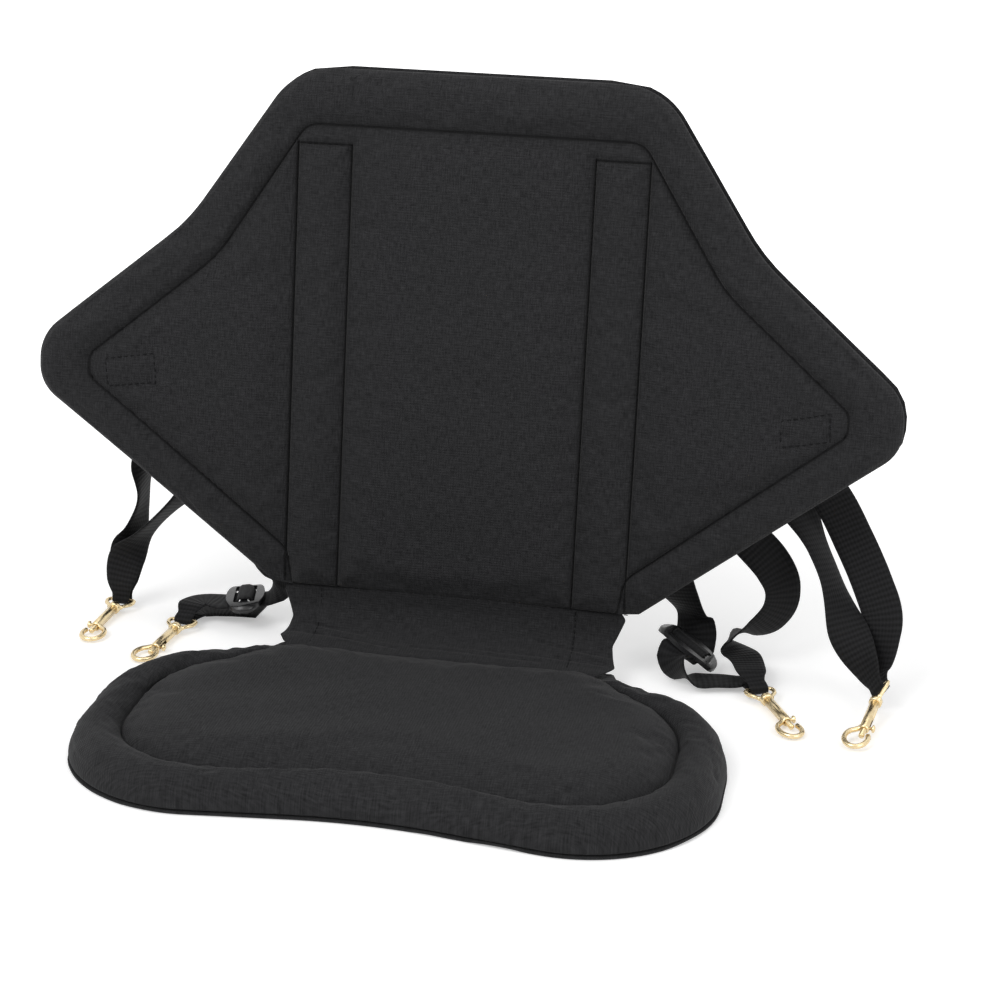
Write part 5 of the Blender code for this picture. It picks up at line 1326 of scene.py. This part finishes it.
def seat_surface(points):
    """The seat's top at flat points on its seam."""
    level_here, _, _ = quilt(points, seat_edge, seat_seam, [], *seat_levels, run=seat_crown_run)
    return raised(points, level_here + 0.0003)


seat_thread = thread_mesh(
    "seat_stitching",
    seat_surface(seat_middle - seat_half_run),
    seat_surface(seat_middle + seat_half_run),
    np.tile([0.0, 0.0, 1.0], (len(seat_middle), 1)),
)
seat_thread.data.materials.append(thread_black)
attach(seat_thread, "seat")

# Snaps and sliders: cast brass bolt snaps and moulded black sliders, whose CAD shapes are right.
# Each is a merged copy of its solid with its facets smoothed, so that only its real corners stay sharp.


def smoothed_copy(node, name, body, finish, corner=38):
    """A copy of a CAD node with its loose triangles merged, shaded smooth up to a corner's angle."""
    mesh = frame["nodes"][node].data.copy()
    mesh.materials.clear()
    work = bmesh.new()
    work.from_mesh(mesh)
    bmesh.ops.remove_doubles(work, verts=work.verts, dist=1e-6)
    work.to_mesh(mesh)
    work.free()
    mesh.materials.append(finish)
    made = smooth_object(name, mesh)
    mesh.set_sharp_from_angle(angle=math.radians(corner))
    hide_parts(node)
    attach(made, body)
    return made


def roughness_between(tree, share, smooth, rough):
    """A roughness that goes from smooth to rough as the share rises from 0 to 1."""
    return add_node(tree, "MapRange", {"Value": share, "To Min": smooth, "To Max": rough}).outputs["Result"]


brass_gold, brass_tree, brass_shader = new_material("brass_gold", {
    "Base Color": (0.83, 0.66, 0.38, 1.0),
    "Roughness": 0.24,
    "Metallic": 1.0,
})
brass_stain = mottle(brass_tree, 260.0, 4.0)
feed(brass_tree, brass_shader, {
    "Base Color": tones_between(brass_tree, brass_stain, (0.62, 0.47, 0.25), (0.93, 0.78, 0.50)),
    "Roughness": roughness_between(brass_tree, brass_stain, 0.16, 0.36),
})

slider_black, slider_tree, slider_shader = new_material("slider_black", {
    "Base Color": (0.012, 0.012, 0.013, 1.0),
    "Roughness": 0.28,
})
slider_scuff = mottle(slider_tree, 420.0, 5.0)
feed(slider_tree, slider_shader, {
    "Roughness": roughness_between(slider_tree, slider_scuff, 0.18, 0.42),
    "Normal": raised_grain(slider_tree, slider_scuff, 0.15, 0.0002),
})

spring_bright, _, _ = new_material("spring_bright", {
    "Base Color": (0.55, 0.55, 0.56, 1.0),
    "Roughness": 0.22,
    "Metallic": 1.0,
})
for corner in strap_routes:
    smoothed_copy(f"snap_eye_{corner}", f"eye_{corner}", "seat", brass_gold)
    smoothed_copy(f"snap_hook_{corner}", f"hook_{corner}", f"hook_{corner}", brass_gold)
    smoothed_copy(f"snap_bolt_{corner}", f"bolt_{corner}", f"bolt_{corner}", brass_gold)
    coil = smoothed_copy(
        f"snap_spring_{corner}", f"spring_{corner}", f"hook_{corner}", spring_bright
    )
    # The bore's blind end is found as the coil's point furthest along the bolt's slide axis, and the coil
    # gets a mesh of its own
    slide = next(joint for joint in frame["joints"] if joint["name"] == f"bolt_slide_{corner}")
    coil_points = np.empty(len(coil.data.vertices) * 3)
    coil.data.vertices.foreach_get("co", coil_points)
    coil_points = coil_points.reshape(-1, 3)
    along_axis = coil_points @ np.array(slide["axis"])
    blind_end = tuple(coil_points[along_axis.argmax()].tolist())
    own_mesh(coil)
    holder = "backrest" if corner.startswith("upper") else "seat"
    smoothed_copy(f"slider_{corner}", f"strap_slider_{corner}", holder, slider_black)
